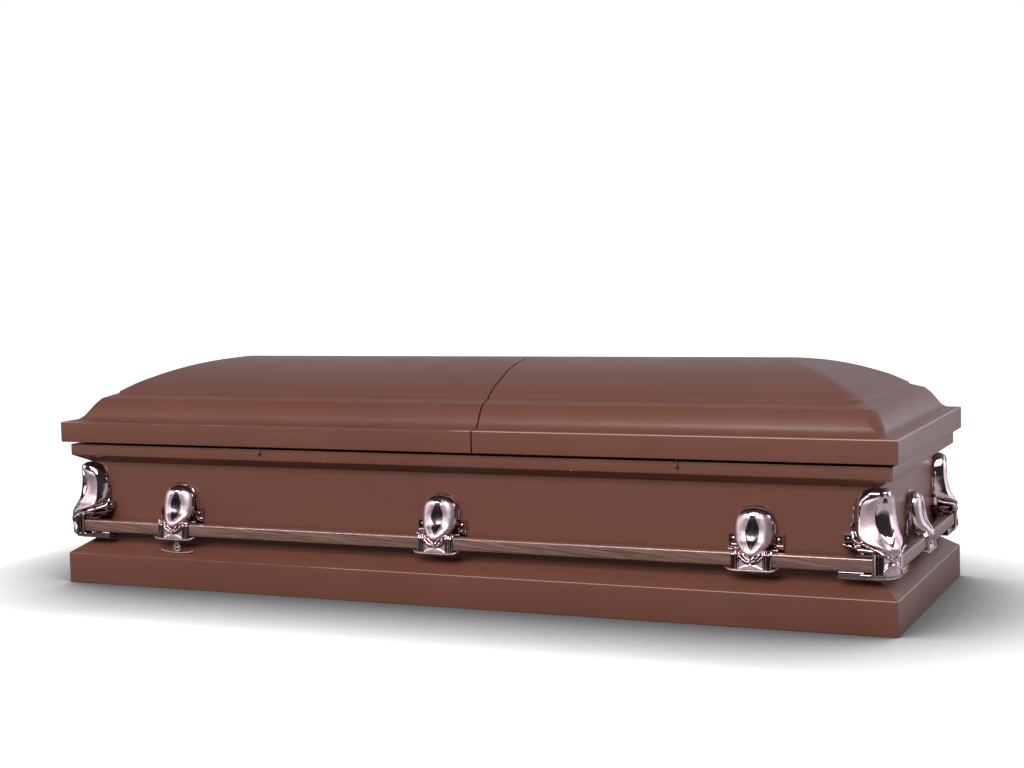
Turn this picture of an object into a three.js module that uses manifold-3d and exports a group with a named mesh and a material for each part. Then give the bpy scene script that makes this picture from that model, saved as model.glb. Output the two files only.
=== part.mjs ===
// Half-couch funeral casket: pressed steel body, two domed lids hinged along the back,
// and cast handle fittings carrying a bar along every side.
// Millimetres, +Z up, +X towards the foot end, -Y towards the front, origin under the middle.
import * as THREE from 'three';
import { mergeVertices } from 'three/addons/utils/BufferGeometryUtils.js';
import Module from 'manifold-3d';

const wasm = await Module();
wasm.setup();

// Body
const BASE_LENGTH = 2130;
const BASE_WIDTH = 712;
const BASE_FACE = 76;
const SHEET = 1.2;
const SLOPED_SHEET = 1.45;
const GAP = 0.3;
const WALL_INSET = 48;
const WALL_FOOT = 108;
const FOOT_FLANGE = 32;
const FLOOR_HEIGHT = 12;
const MOULDING_INSET = 12;
const MOULDING_UNDER = 308;
const MOULDING_LOW = 328;
const MOULDING_TOP = 356;
const LEDGE_INSET = 62;
const LEDGE_LIP = 18;

// Seal between body and lids
const SEAL_OUTER_INSET = 36;
const SEAL_INNER_INSET = 54;

// Lids
const RIM_OVERHANG = 4;
const RIM_BOTTOM = 362.6;
const RIM_TOP = 413;
const SHELF_WIDTH = 27;
const SHELF_RISE = 3;
const COVE_PULL = new THREE.Vector2(36, 418);
const OGEE_START = new THREE.Vector2(41, 433);
const OGEE_PULL = new THREE.Vector2(50, 462);
const OGEE_END = new THREE.Vector2(85, 475);
const BAND_END = new THREE.Vector2(99, 480.5);
const CROWN_START = 101;
const CROWN_RADIUS = 480;
const LID_TOP = 558;
const CROWN_STEPS = 8;
const RIDGE_HALF = 1;
const RIM_FLANGE = 48;
const SPLIT_AT = 94;
const SPLIT_GAP = 4;
const SPLIT_FLANGE = 22;

// Hinges
const HINGE_LENGTH = 60;
const HINGE_RADIUS = 5;
const HINGE_AXIS_OUT = 6;
const HINGE_AXIS_HEIGHT = 355;
const HINGE_LEAF = 2;
const HINGE_LEAF_DROP = 26;
const HINGE_LEAF_REACH = 26;
const HINGE_STATIONS = { head: [-900, -90], foot: [280, 900] };

// Handle bars
const BAR_LOW = 133.5;
const BAR_HEIGHT = 29;
const BAR_BACK = 22;
const BAR_DEPTH = 22;
const BAR_CHAMFER = 4;
const BAR_CLEARANCE = 0.3;

// Arms and lugs, measured from the wall they stand on
const ARM_STATIONS = [-740, -10, 749];
const SLEEVE_HALF = 46;
const SLEEVE_LOW = 124;
const SLEEVE_TOP = 169;
const SLEEVE_BACK = 17;
const SLEEVE_FRONT = 48;
const SLEEVE_EASE = 6;
const RIB_PITCH = 9;
const RIB_DEPTH = 3;
const LIP_HALF = 61;
const LIP_HEIGHT = 6;
const TAB_HALF = 10;
const TAB_DROP = 9;
const TAB_THICK = 6;
const LUG_HALF = 42;
const LUG_LOW = 178;
const LUG_TOP = 260;
const LUG_PLATE = 3;
const EAR_INNER = 38;
const EAR_OUTER = 63.5;
const EAR_LOW = 163;
const EAR_TOP = 199;
const EAR_DEPTH = 11.5;
const EAR_STEP = 3;

// Corner fittings, measured from the corner of the walls
const WRAP_TOP = 307;
const ELBOW_LOW = 118;
const ELBOW_TOP = 171;
const ELBOW_EDGE = 8;
const ELBOW_ROUND = 32;
const ELBOW_WALL = 5;
const SHELF_REACH = 80;
const SHELF_DEPTH = 32;
const SHELF_LOW = 170;
const SHELF_TIP_TOP = 190;
const SHELF_ROOT_TOP = 178;
const KNOB_FROM = -72;
const KNOB_TO = -48;
const KNOB_TOP = 211;
const KNOB_OUT = 24;
const TRAY_BACK = 14;
const BRACKET_FROM = -32;
const BRACKET_TO = -6;
const BAR_END_INSET = 51;

// Catch knobs under the lid rim
const CATCH_RADIUS = 4.5;
const CATCH_HEIGHT = 346;
const CATCH_STEM = 1.2;
const CATCH_STATIONS = { head: -485, foot: 583 };

// Perforated strap under the front arm at the head
const STRAP_WIDTH = 19;
const STRAP_LENGTH = 24;
const STRAP_SHEET = 1.5;
const STRAP_HOLE = 4;
const STRAP_OUT = 33;

const HALF_LENGTH = BASE_LENGTH / 2;
const HALF_WIDTH = BASE_WIDTH / 2;
const RIM_HALF_LENGTH = HALF_LENGTH + RIM_OVERHANG;
const RIM_HALF_WIDTH = HALF_WIDTH + RIM_OVERHANG;
const WALL_HALF_LENGTH = HALF_LENGTH - WALL_INSET;
const WALL_HALF_WIDTH = HALF_WIDTH - WALL_INSET;
const BAR_TOP = BAR_LOW + BAR_HEIGHT;

// Each side of the body: its name, quarter turns from the front, half its run and half the depth.
const SIDES = [
  { name: 'front', turns: 0, run: HALF_LENGTH, depth: HALF_WIDTH },
  { name: 'foot', turns: 1, run: HALF_WIDTH, depth: HALF_LENGTH },
  { name: 'back', turns: 2, run: HALF_LENGTH, depth: HALF_WIDTH },
  { name: 'head', turns: 3, run: HALF_WIDTH, depth: HALF_LENGTH },
];

const paint = { color: 0x74503f, roughness: 0.35, metalness: 0.3 };
const plated = { color: 0xc79a8f, roughness: 0.12, metalness: 1 };
const brushed = { color: 0xa9786a, roughness: 0.3, metalness: 1 };
const steel = { color: 0x6f6a68, roughness: 0.45, metalness: 0.9 };
const rubber = { color: 0x15120f, roughness: 0.8, metalness: 0 };

const casket = new THREE.Group();
casket.name = 'casket';

function addPiece(name, geometry, look) {
  const piece = new THREE.Mesh(geometry, new THREE.MeshStandardMaterial(look));
  piece.name = name;
  casket.add(piece);
}

// Closed solids from rings of points

function signedVolume(positions, triangles) {
  const a = new THREE.Vector3();
  const b = new THREE.Vector3();
  const c = new THREE.Vector3();
  let volume = 0;
  for (let i = 0; i < triangles.length; i += 3) {
    a.fromArray(positions, 3 * triangles[i]);
    b.fromArray(positions, 3 * triangles[i + 1]);
    c.fromArray(positions, 3 * triangles[i + 2]);
    volume += a.dot(b.cross(c)) / 6;
  }
  return volume;
}

function capTriangles(ring) {
  const normal = new THREE.Vector3();
  ring.forEach((point, i) => normal.add(point.clone().cross(ring[(i + 1) % ring.length])));
  const size = [Math.abs(normal.x), Math.abs(normal.y), Math.abs(normal.z)];
  const drop = size.indexOf(Math.max(...size));
  const flat = ring.map((p) => new THREE.Vector2(drop === 0 ? p.y : p.x, drop === 2 ? p.y : p.z));
  const reversed = THREE.ShapeUtils.isClockWise(flat);
  const order = flat.map((_, i) => i);
  if (reversed) order.reverse();
  const faces = THREE.ShapeUtils.triangulateShape(order.map((i) => flat[i]), []);
  return faces.map((face) => {
    const mapped = face.map((i) => order[i]);
    return reversed ? mapped.reverse() : mapped;
  });
}

// Skins rings of equal length one after the other and closes both ends.
function loft(rings) {
  const count = rings[0].length;
  const positions = rings.flat().flatMap((p) => [p.x, p.y, p.z]);
  const triangles = [];
  for (let r = 0; r + 1 < rings.length; r += 1) {
    for (let i = 0; i < count; i += 1) {
      const a = r * count + i;
      const b = r * count + ((i + 1) % count);
      triangles.push(a, b, b + count, a, b + count, a + count);
    }
  }
  const last = (rings.length - 1) * count;
  for (const [a, b, c] of capTriangles(rings[0])) triangles.push(c, b, a);
  for (const [a, b, c] of capTriangles(rings[rings.length - 1])) {
    triangles.push(last + a, last + b, last + c);
  }
  if (signedVolume(positions, triangles) < 0) triangles.reverse();
  const geometry = new THREE.BufferGeometry();
  geometry.setAttribute('position', new THREE.Float32BufferAttribute(positions, 3));
  geometry.setIndex(triangles);
  return geometry;
}

function toSolid(geometry) {
  const bare = geometry.clone();
  bare.deleteAttribute('normal');
  bare.deleteAttribute('uv');
  const merged = mergeVertices(bare, 1e-4);
  return new wasm.Manifold(new wasm.Mesh({
    numProp: 3,
    vertProperties: new Float32Array(merged.attributes.position.array),
    triVerts: new Uint32Array(merged.index.array),
  }));
}

function toGeometry(solid) {
  const mesh = solid.getMesh();
  const geometry = new THREE.BufferGeometry();
  geometry.setAttribute('position', new THREE.Float32BufferAttribute(mesh.vertProperties, 3));
  geometry.setIndex(Array.from(mesh.triVerts));
  return geometry;
}

function joined(geometries) {
  return geometries.map(toSolid).reduce((whole, solid) => whole.add(solid));
}

function cutAway(solid, geometries) {
  return geometries.map(toSolid).reduce((left, tool) => left.subtract(tool), solid);
}

function block(x0, x1, y0, y1, z0, z1) {
  const box = new THREE.BoxGeometry(x1 - x0, y1 - y0, z1 - z0);
  return box.translate((x0 + x1) / 2, (y0 + y1) / 2, (z0 + z1) / 2);
}

// A straight length facing -Y with its ends mitred at 45 degrees.
// The profile holds points of inset from the face and height.
function mitredLength(profile, run, depth) {
  const end = (sign) => profile.map(([inset, height]) => (
    new THREE.Vector3(sign * (run - inset - GAP / 2), -(depth - inset), height)));
  return loft([end(-1), end(1)]);
}

function turned(geometry, turns) {
  return geometry.clone().rotateZ(turns * Math.PI / 2);
}

// Body: base moulding, wall panels, top moulding, seal strips and floor

const slopeBack = WALL_INSET - GAP;
const slopeTop = WALL_FOOT - GAP;
const BASE_PROFILE = [
  [FOOT_FLANGE, 0],
  [0, 0],
  [0, BASE_FACE],
  [slopeBack, slopeTop],
  [slopeBack, slopeTop - SLOPED_SHEET],
  [SHEET, BASE_FACE - SHEET / 2],
  [SHEET, SHEET],
  [FOOT_FLANGE, SHEET],
];

const WALL_PROFILE = [
  [WALL_INSET, GAP],
  [WALL_INSET, MOULDING_TOP - SHEET - GAP],
  [WALL_INSET + SHEET, MOULDING_TOP - SHEET - GAP],
  [WALL_INSET + SHEET, GAP],
];

const MOULDING_PROFILE = [
  [WALL_INSET - GAP, MOULDING_UNDER],
  [MOULDING_INSET, MOULDING_LOW],
  [MOULDING_INSET, MOULDING_TOP],
  [LEDGE_INSET, MOULDING_TOP],
  [LEDGE_INSET, MOULDING_TOP - LEDGE_LIP],
  [LEDGE_INSET - SHEET, MOULDING_TOP - LEDGE_LIP],
  [LEDGE_INSET - SHEET, MOULDING_TOP - SHEET],
  [MOULDING_INSET + SHEET, MOULDING_TOP - SHEET],
  [MOULDING_INSET + SHEET, MOULDING_LOW + SHEET / 2],
  [WALL_INSET - GAP, MOULDING_UNDER + SLOPED_SHEET],
];

const SEAL_PROFILE = [
  [SEAL_OUTER_INSET, MOULDING_TOP + GAP],
  [SEAL_OUTER_INSET, RIM_BOTTOM - GAP],
  [SEAL_INNER_INSET, RIM_BOTTOM - GAP],
  [SEAL_INNER_INSET, MOULDING_TOP + GAP],
];

for (const side of SIDES) {
  const length = (profile) => turned(mitredLength(profile, side.run, side.depth), side.turns);
  addPiece(`base_moulding_${side.name}`, length(BASE_PROFILE), paint);
  addPiece(`wall_panel_${side.name}`, length(WALL_PROFILE), paint);
  addPiece(`top_moulding_${side.name}`, length(MOULDING_PROFILE), paint);
  addPiece(`seal_${side.name}`, length(SEAL_PROFILE), rubber);
}

const floorInset = WALL_INSET + SHEET + GAP;
addPiece('floor_panel', block(
  floorInset - HALF_LENGTH, HALF_LENGTH - floorInset,
  floorInset - HALF_WIDTH, HALF_WIDTH - floorInset,
  FLOOR_HEIGHT, FLOOR_HEIGHT + SHEET), paint);

// Lids: a rim, a shelf, a cove and ogee, a flat band, and a crown struck from one radius

function crownHeight(inset) {
  const across = RIM_HALF_WIDTH - inset;
  return LID_TOP - CROWN_RADIUS + Math.sqrt(CROWN_RADIUS ** 2 - across ** 2);
}

function lidProfile() {
  const shelfEnd = new THREE.Vector2(SHELF_WIDTH, RIM_TOP + SHELF_RISE);
  const cove = new THREE.QuadraticBezierCurve(shelfEnd, COVE_PULL, OGEE_START);
  const ogee = new THREE.QuadraticBezierCurve(OGEE_START, OGEE_PULL, OGEE_END);
  const points = [new THREE.Vector2(0, RIM_BOTTOM), new THREE.Vector2(0, RIM_TOP)];
  points.push(...cove.getPoints(3), ...ogee.getPoints(5).slice(1), BAND_END);
  const crownEnd = RIM_HALF_WIDTH - RIDGE_HALF;
  for (let i = 0; i <= CROWN_STEPS; i += 1) {
    const inset = CROWN_START + (crownEnd - CROWN_START) * (i / CROWN_STEPS);
    points.push(new THREE.Vector2(inset, crownHeight(inset)));
  }
  return points;
}

// The same profile moved square to itself, towards the inside of the dome.
function insetProfile(points, distance) {
  return points.map((point, i) => {
    const before = points[Math.max(i - 1, 0)];
    const after = points[Math.min(i + 1, points.length - 1)];
    const along = after.clone().sub(before).normalize();
    const moved = new THREE.Vector2(point.x + along.y * distance, point.y - along.x * distance);
    moved.x = Math.min(moved.x, RIM_HALF_WIDTH - RIDGE_HALF / 2);
    return moved;
  });
}

// One dome from the split to its closed end: a hipped loop of four corners at each profile point.
function dome(profile, splitX, endSign) {
  return loft(profile.map((point) => {
    const endX = endSign * (RIM_HALF_LENGTH - point.x);
    const halfY = RIM_HALF_WIDTH - point.x;
    return [
      new THREE.Vector3(splitX, -halfY, point.y),
      new THREE.Vector3(endX, -halfY, point.y),
      new THREE.Vector3(endX, halfY, point.y),
      new THREE.Vector3(splitX, halfY, point.y),
    ];
  }));
}

function lidShell(splitX, endSign) {
  const outer = lidProfile();
  const inner = insetProfile(outer, SHEET);
  inner[0].y = RIM_BOTTOM + SHEET;
  const mouthArch = insetProfile(outer, SPLIT_FLANGE);
  const hollow = dome(inner, splitX + endSign * SHEET, endSign);
  const floorMouth = block(
    Math.min(splitX + endSign * RIM_FLANGE, endSign * (RIM_HALF_LENGTH - RIM_FLANGE)),
    Math.max(splitX + endSign * RIM_FLANGE, endSign * (RIM_HALF_LENGTH - RIM_FLANGE)),
    RIM_FLANGE - RIM_HALF_WIDTH, RIM_HALF_WIDTH - RIM_FLANGE,
    RIM_BOTTOM - SHEET, RIM_BOTTOM + 2 * SHEET);
  const crownMouth = mouthArch.filter((point) => point.x > RIM_FLANGE);
  const archRing = (x) => [
    new THREE.Vector3(x, RIM_FLANGE - RIM_HALF_WIDTH, RIM_BOTTOM - SHEET),
    ...crownMouth.map((p) => new THREE.Vector3(x, p.x - RIM_HALF_WIDTH, p.y)),
    ...crownMouth.toReversed().map((p) => new THREE.Vector3(x, RIM_HALF_WIDTH - p.x, p.y)),
    new THREE.Vector3(x, RIM_HALF_WIDTH - RIM_FLANGE, RIM_BOTTOM - SHEET),
  ];
  const mouthEnd = splitX + endSign * (RIM_FLANGE + SHEET);
  const endMouth = loft([archRing(splitX - endSign * SHEET), archRing(mouthEnd)]);
  return toGeometry(cutAway(toSolid(dome(outer, splitX, endSign)), [hollow, floorMouth, endMouth]));
}

addPiece('lid_head', lidShell(SPLIT_AT - SPLIT_GAP / 2, -1), paint);
addPiece('lid_foot', lidShell(SPLIT_AT + SPLIT_GAP / 2, 1), paint);

// Hinges along the back: the body leaf holds the outer knuckles, the lid leaf the middle one

const mouldingBack = HALF_WIDTH - MOULDING_INSET;
const hingeY = mouldingBack + HINGE_AXIS_OUT;

function knuckle(x0, x1) {
  const barrel = new THREE.CylinderGeometry(HINGE_RADIUS, HINGE_RADIUS, x1 - x0, 8);
  return barrel.rotateZ(Math.PI / 2).translate((x0 + x1) / 2, hingeY, HINGE_AXIS_HEIGHT);
}

function bodyLeaf(x) {
  const half = HINGE_LENGTH / 2;
  const third = HINGE_LENGTH / 6;
  const plateFace = mouldingBack + GAP;
  const low = HINGE_AXIS_HEIGHT - HINGE_LEAF_DROP;
  const high = HINGE_AXIS_HEIGHT - HINGE_RADIUS;
  const plate = block(x - half, x + half, plateFace, plateFace + HINGE_LEAF, low, high);
  const fingers = [[x - half, x - third - GAP], [x + third + GAP, x + half]];
  const stems = fingers.map(([x0, x1]) => (
    block(x0, x1, plateFace, plateFace + HINGE_LEAF, low, HINGE_AXIS_HEIGHT)));
  return toGeometry(joined([plate, ...stems, ...fingers.map(([x0, x1]) => knuckle(x0, x1))]));
}

function lidLeaf(x) {
  const half = HINGE_LENGTH / 2;
  const third = HINGE_LENGTH / 6;
  const top = RIM_BOTTOM - GAP;
  const plate = block(x - half, x + half, hingeY - HINGE_LEAF_REACH, hingeY, top - HINGE_LEAF, top);
  const web = block(x - third, x + third, hingeY - HINGE_LEAF, hingeY, HINGE_AXIS_HEIGHT, top);
  return toGeometry(joined([plate, web, knuckle(x - third, x + third)]));
}

for (const [lid, stations] of Object.entries(HINGE_STATIONS)) {
  stations.forEach((x, i) => {
    addPiece(`hinge_body_leaf_${lid}_${i + 1}`, bodyLeaf(x), steel);
    addPiece(`hinge_lid_leaf_${lid}_${i + 1}`, lidLeaf(x), steel);
  });
}

// Catch knobs on the front of the top moulding

for (const [lid, x] of Object.entries(CATCH_STATIONS)) {
  const centreY = -(mouldingBack + GAP + CATCH_RADIUS);
  const ball = new THREE.SphereGeometry(CATCH_RADIUS, 8, 6).rotateX(Math.PI / 2);
  ball.translate(x, centreY, CATCH_HEIGHT);
  const stemLength = RIM_BOTTOM - GAP - CATCH_HEIGHT;
  const stem = new THREE.CylinderGeometry(CATCH_STEM, CATCH_STEM, stemLength, 6);
  stem.rotateX(Math.PI / 2).translate(x, centreY, CATCH_HEIGHT + stemLength / 2);
  addPiece(`catch_knob_${lid}`, toGeometry(joined([ball, stem])), steel);
}

// Handle bars: a chamfered section running between the elbows of the corner fittings

function barSection(grow) {
  const front = BAR_BACK + BAR_DEPTH + grow;
  const back = BAR_BACK - grow;
  const low = BAR_LOW - grow;
  const top = BAR_TOP + grow;
  const chamfer = BAR_CHAMFER;
  return [
    [front, low + chamfer], [front, top - chamfer], [front - chamfer, top], [back + chamfer, top],
    [back, top - chamfer], [back, low + chamfer], [back + chamfer, low], [front - chamfer, low],
  ];
}

// A length of bar standing off the wall at y = 0, between two places along x.
function barLength(x0, x1, grow) {
  const ring = (x) => barSection(grow).map(([out, height]) => new THREE.Vector3(x, -out, height));
  return loft([ring(x0), ring(x1)]);
}

for (const side of SIDES) {
  const end = side.run - BAR_END_INSET;
  const bar = barLength(-end, end, 0).translate(0, WALL_INSET - side.depth, 0);
  addPiece(`bar_${side.name}`, turned(bar, side.turns), brushed);
}

// Arms: an egg-shaped shield that narrows to a chin over a ribbed sleeve round the bar

// Height, half width, back and front of the shield at a few levels, measured from the wall.
const SHIELD_LEVELS = [
  [148, 2, 42, 50],
  [156, 12, 38, 52],
  [166, 26, 30, 51],
  [178, 38, 19, 45],
  [190, 43.5, 14, 37],
  [207, 45, 12.5, 32],
  [226, 43.5, 9, 29],
  [241, 38.5, 6.5, 26],
  [251, 29, 5, 21],
  [256, 16, 5, 15],
  [257.5, 6, 5, 10],
];
const SHIELD_EDGE = 2;
const SHIELD_FULLNESS = 0.8;
const SHIELD_STEPS = 7;
const SHIELD_SIDES = 6;

function levelsCurve(levels) {
  const first = new THREE.SplineCurve(levels.map((level) => new THREE.Vector2(level[0], level[1])));
  const second = new THREE.SplineCurve(levels.map((level) => new THREE.Vector2(level[2], level[3])));
  return (share) => {
    const a = first.getPoint(share);
    const b = second.getPoint(share);
    return [a.x, a.y, b.x, b.y];
  };
}

function armShield() {
  const levelAt = levelsCurve(SHIELD_LEVELS);
  const rings = [];
  for (let step = 0; step <= SHIELD_STEPS; step += 1) {
    const [height, half, back, front] = levelAt(step / SHIELD_STEPS);
    const ring = [];
    for (let i = 0; i <= SHIELD_SIDES; i += 1) {
      const angle = Math.PI * (i / SHIELD_SIDES);
      const rise = (front - back - SHIELD_EDGE) * Math.sin(angle) ** SHIELD_FULLNESS;
      const out = back + SHIELD_EDGE + rise;
      ring.push(new THREE.Vector3(half * Math.cos(angle), -out, height));
    }
    ring.push(new THREE.Vector3(-half, -back, height), new THREE.Vector3(half, -back, height));
    rings.push(ring);
  }
  return loft(rings);
}

// Sleeve along x with two raised ribs near each end and a rounded front.
function armSleeve() {
  const third = RIB_PITCH / 3;
  const stations = [[-SLEEVE_HALF, 0]];
  for (const rib of [0, 1]) {
    const from = rib * RIB_PITCH + third - SLEEVE_HALF;
    stations.push([from, 0], [from + third, RIB_DEPTH], [from + 2 * third, 0]);
  }
  stations.push(...stations.toReversed().map(([x, sink]) => [-x, sink]));
  return loft(stations.map(([x, sink]) => {
    const front = SLEEVE_FRONT - sink;
    const top = SLEEVE_TOP - sink;
    return [
      [SLEEVE_BACK, SLEEVE_LOW], [front, SLEEVE_LOW],
      [front, top - 2 * SLEEVE_EASE], [front - SLEEVE_EASE, top], [SLEEVE_BACK, top],
    ].map(([out, height]) => new THREE.Vector3(x, -out, height));
  }));
}

function armLip() {
  const ring = (half, front, height) => [
    new THREE.Vector3(-half, -SLEEVE_BACK, height), new THREE.Vector3(half, -SLEEVE_BACK, height),
    new THREE.Vector3(half, -front, height), new THREE.Vector3(-half, -front, height),
  ];
  return loft([
    ring(LIP_HALF, SLEEVE_FRONT, SLEEVE_LOW),
    ring(LIP_HALF, SLEEVE_FRONT, SLEEVE_LOW + LIP_HEIGHT / 2),
    ring(SLEEVE_HALF, SLEEVE_FRONT - SHEET, SLEEVE_LOW + 2 * LIP_HEIGHT),
  ]);
}

function armSolid() {
  const tabOut = (SLEEVE_BACK + SLEEVE_FRONT) / 2;
  const tab = block(
    -TAB_HALF, TAB_HALF, -tabOut - TAB_THICK, -tabOut, SLEEVE_LOW - TAB_DROP, SLEEVE_LOW + SHEET);
  const whole = joined([armShield(), armSleeve(), armLip(), tab]);
  return toGeometry(cutAway(whole, [barLength(-2 * LIP_HALF, 2 * LIP_HALF, BAR_CLEARANCE)]));
}

// Lug: a round-topped plate on the wall with a stepped ear block on each side.
function lugSolid() {
  const outline = new THREE.Shape();
  outline.moveTo(-LUG_HALF, LUG_LOW);
  outline.lineTo(LUG_HALF, LUG_LOW);
  outline.lineTo(LUG_HALF, LUG_TOP - LUG_HALF);
  outline.absarc(0, LUG_TOP - LUG_HALF, LUG_HALF, 0, Math.PI, false);
  const plate = new THREE.ExtrudeGeometry(outline, {
    depth: LUG_PLATE, bevelEnabled: false, curveSegments: 5,
  });
  plate.rotateX(Math.PI / 2).translate(0, -GAP, 0);
  const pieces = [plate];
  for (const sign of [-1, 1]) {
    const steps = [[EAR_DEPTH, EAR_STEP], [EAR_DEPTH - EAR_STEP, 0]];
    for (const [depth, inset] of steps) {
      const ends = [sign * EAR_INNER, sign * (EAR_OUTER - inset)].toSorted((a, b) => a - b);
      pieces.push(block(...ends, -depth, -GAP, EAR_LOW + inset, EAR_TOP - inset));
    }
  }
  return toGeometry(joined(pieces));
}

const armStations = [];
for (const side of SIDES) {
  const isLong = side.run === HALF_LENGTH;
  const facing = side.turns === 0 ? ARM_STATIONS : ARM_STATIONS.toReversed().map((x) => -x);
  const places = isLong ? facing : [0];
  places.forEach((x, i) => {
    const label = isLong ? `${side.name}_${i + 1}` : side.name;
    armStations.push({ label, x, side });
  });
}
for (const { label, x, side } of armStations) {
  const place = (geometry) => turned(geometry.translate(x, WALL_INSET - side.depth, 0), side.turns);
  addPiece(`arm_${label}`, place(armSolid()), plated);
  addPiece(`lug_${label}`, place(lugSolid()), plated);
}

// Corner fittings: a shield wrapped round the corner of the walls, its tongue running down to a
// rounded elbow that closes the gap between the ends of two bars

// Height, reach along each wall, thickness at the wing tip and stand-off from the walls.
const WRAP_LEVELS = [
  [168, 5, 42, 56],
  [176, 12, 34, 54],
  [184, 24, 22, 48],
  [190, 46, 9, 40],
  [197, 53, 6, 35],
  [214, 54, 6, 30],
  [240, 52, 6, 26],
  [270, 48, 6, 26],
  [290, 41, 6, 26],
  [301, 28, 6, 22],
  [WRAP_TOP, 12, 5, 13],
];
const WRAP_STEPS = 7;

// Across half the shield, from wing tip to diagonal: share of the way and share of the stand-off.
// A raised border, a panel, a flute and a ridge on the diagonal.
const WRAP_RELIEF = [[0.04, 0.7], [0.14, 1], [0.32, 0.94], [0.74, 1.02], [0.88, 0.86], [1, 1.04]];
const WRAP_TURN = 0.6;

// In the corner's own frame the front wall is y = 0 with x < 0,
// and the end wall is x = 0 with y > 0.
function wrapRing(height, reach, tip, standOff) {
  const half = [[-reach, -tip]];
  for (const [share, lift] of WRAP_RELIEF) {
    const along = -reach * Math.max(0, 1 - share / WRAP_TURN);
    const angle = (Math.PI / 4) * Math.max(0, (share - WRAP_TURN) / (1 - WRAP_TURN));
    const out = Math.min(Math.max(standOff * lift, tip), WALL_INSET / Math.cos(angle));
    half.push([along + out * Math.sin(angle), -out * Math.cos(angle)]);
  }
  const mirrored = half.slice(0, -1).toReversed().map(([x, y]) => [-y, -x]);
  const inner = [[GAP, reach], [GAP, -GAP], [-reach, -GAP]];
  return [...half, ...mirrored, ...inner].map(([x, y]) => new THREE.Vector3(x, y, height));
}

function cornerShield() {
  const levelAt = levelsCurve(WRAP_LEVELS);
  const rings = [];
  for (let step = 0; step <= WRAP_STEPS; step += 1) {
    rings.push(wrapRing(...levelAt(step / WRAP_STEPS)));
  }
  return loft(rings);
}

function extrudedUp(plan, low, top) {
  const solid = new THREE.ExtrudeGeometry(plan, {
    depth: top - low, bevelEnabled: false, curveSegments: 4,
  });
  return solid.translate(0, 0, low);
}

// Elbow wall: a quarter round in plan with short straight stretches.
function elbowWall() {
  const face = WALL_INSET;
  const inner = face - ELBOW_WALL;
  const centre = face - ELBOW_ROUND;
  const plan = new THREE.Shape();
  plan.moveTo(ELBOW_EDGE, -face);
  plan.absarc(centre, -centre, ELBOW_ROUND, -Math.PI / 2, 0, false);
  plan.lineTo(face, -ELBOW_EDGE);
  plan.lineTo(inner, -ELBOW_EDGE);
  plan.absarc(centre, -centre, ELBOW_ROUND - ELBOW_WALL, 0, -Math.PI / 2, true);
  plan.lineTo(ELBOW_EDGE, -inner);
  return extrudedUp(plan, ELBOW_LOW, ELBOW_TOP);
}

// Flat plate in plan with two wings along the bars and a rounded corner.
function elbowPlate(reach, low, top) {
  const face = WALL_INSET;
  const centre = face - ELBOW_ROUND;
  const wing = face - ELBOW_WALL;
  const plan = new THREE.Shape();
  plan.moveTo(-reach, -wing);
  plan.lineTo(centre, -face);
  plan.absarc(centre, -centre, ELBOW_ROUND, -Math.PI / 2, 0, false);
  plan.lineTo(wing, reach);
  plan.lineTo(TRAY_BACK, reach);
  plan.lineTo(TRAY_BACK, -TRAY_BACK);
  plan.lineTo(-reach, -TRAY_BACK);
  return extrudedUp(plan, low, top);
}

// Wedge-shaped shelf along the wall above the bar, with a knob on it and a bracket down behind the bar.
function shelfPieces() {
  const wedgeRing = (x, top) => [
    new THREE.Vector3(x, -SHELF_DEPTH, SHELF_LOW), new THREE.Vector3(x, -GAP, SHELF_LOW),
    new THREE.Vector3(x, -GAP, top), new THREE.Vector3(x, -SHELF_DEPTH, top),
  ];
  return [
    loft([wedgeRing(-SHELF_REACH, SHELF_TIP_TOP), wedgeRing(0, SHELF_ROOT_TOP)]),
    block(KNOB_FROM, KNOB_TO, -KNOB_OUT, -GAP, SHELF_ROOT_TOP, KNOB_TOP),
    block(BRACKET_FROM, BRACKET_TO, -BAR_BACK + BAR_CLEARANCE, -GAP, BAR_LOW, ELBOW_TOP),
  ];
}

// Reflects a piece in the diagonal of the corner.
function acrossDiagonal(geometry) {
  const reflection = new THREE.Matrix4().set(0, -1, 0, 0, -1, 0, 0, 0, 0, 0, 1, 0, 0, 0, 0, 1);
  const flipped = geometry.clone().applyMatrix4(reflection);
  flipped.setIndex(Array.from(flipped.index.array).reverse());
  return flipped;
}

function cornerSolid() {
  const shelves = shelfPieces();
  const plateReach = SHELF_REACH / 2;
  const whole = joined([
    cornerShield(), elbowWall(),
    elbowPlate(SHELF_REACH, ELBOW_LOW, ELBOW_LOW + ELBOW_WALL),
    elbowPlate(plateReach, ELBOW_TOP - ELBOW_WALL, ELBOW_TOP),
    ...shelves, ...shelves.map(acrossDiagonal),
  ]);
  return toGeometry(whole);
}

const CORNERS = [
  { name: 'front_foot', x: 1, y: -1 },
  { name: 'back_foot', x: 1, y: 1 },
  { name: 'back_head', x: -1, y: 1 },
  { name: 'front_head', x: -1, y: -1 },
];
const corner = cornerSolid();
CORNERS.forEach(({ name, x, y }, quarter) => {
  const placed = turned(corner, quarter).translate(x * WALL_HALF_LENGTH, y * WALL_HALF_WIDTH, 0);
  addPiece(`corner_${name}`, placed, plated);
});

// Perforated strap hanging from the tab of the front arm at the head

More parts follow.
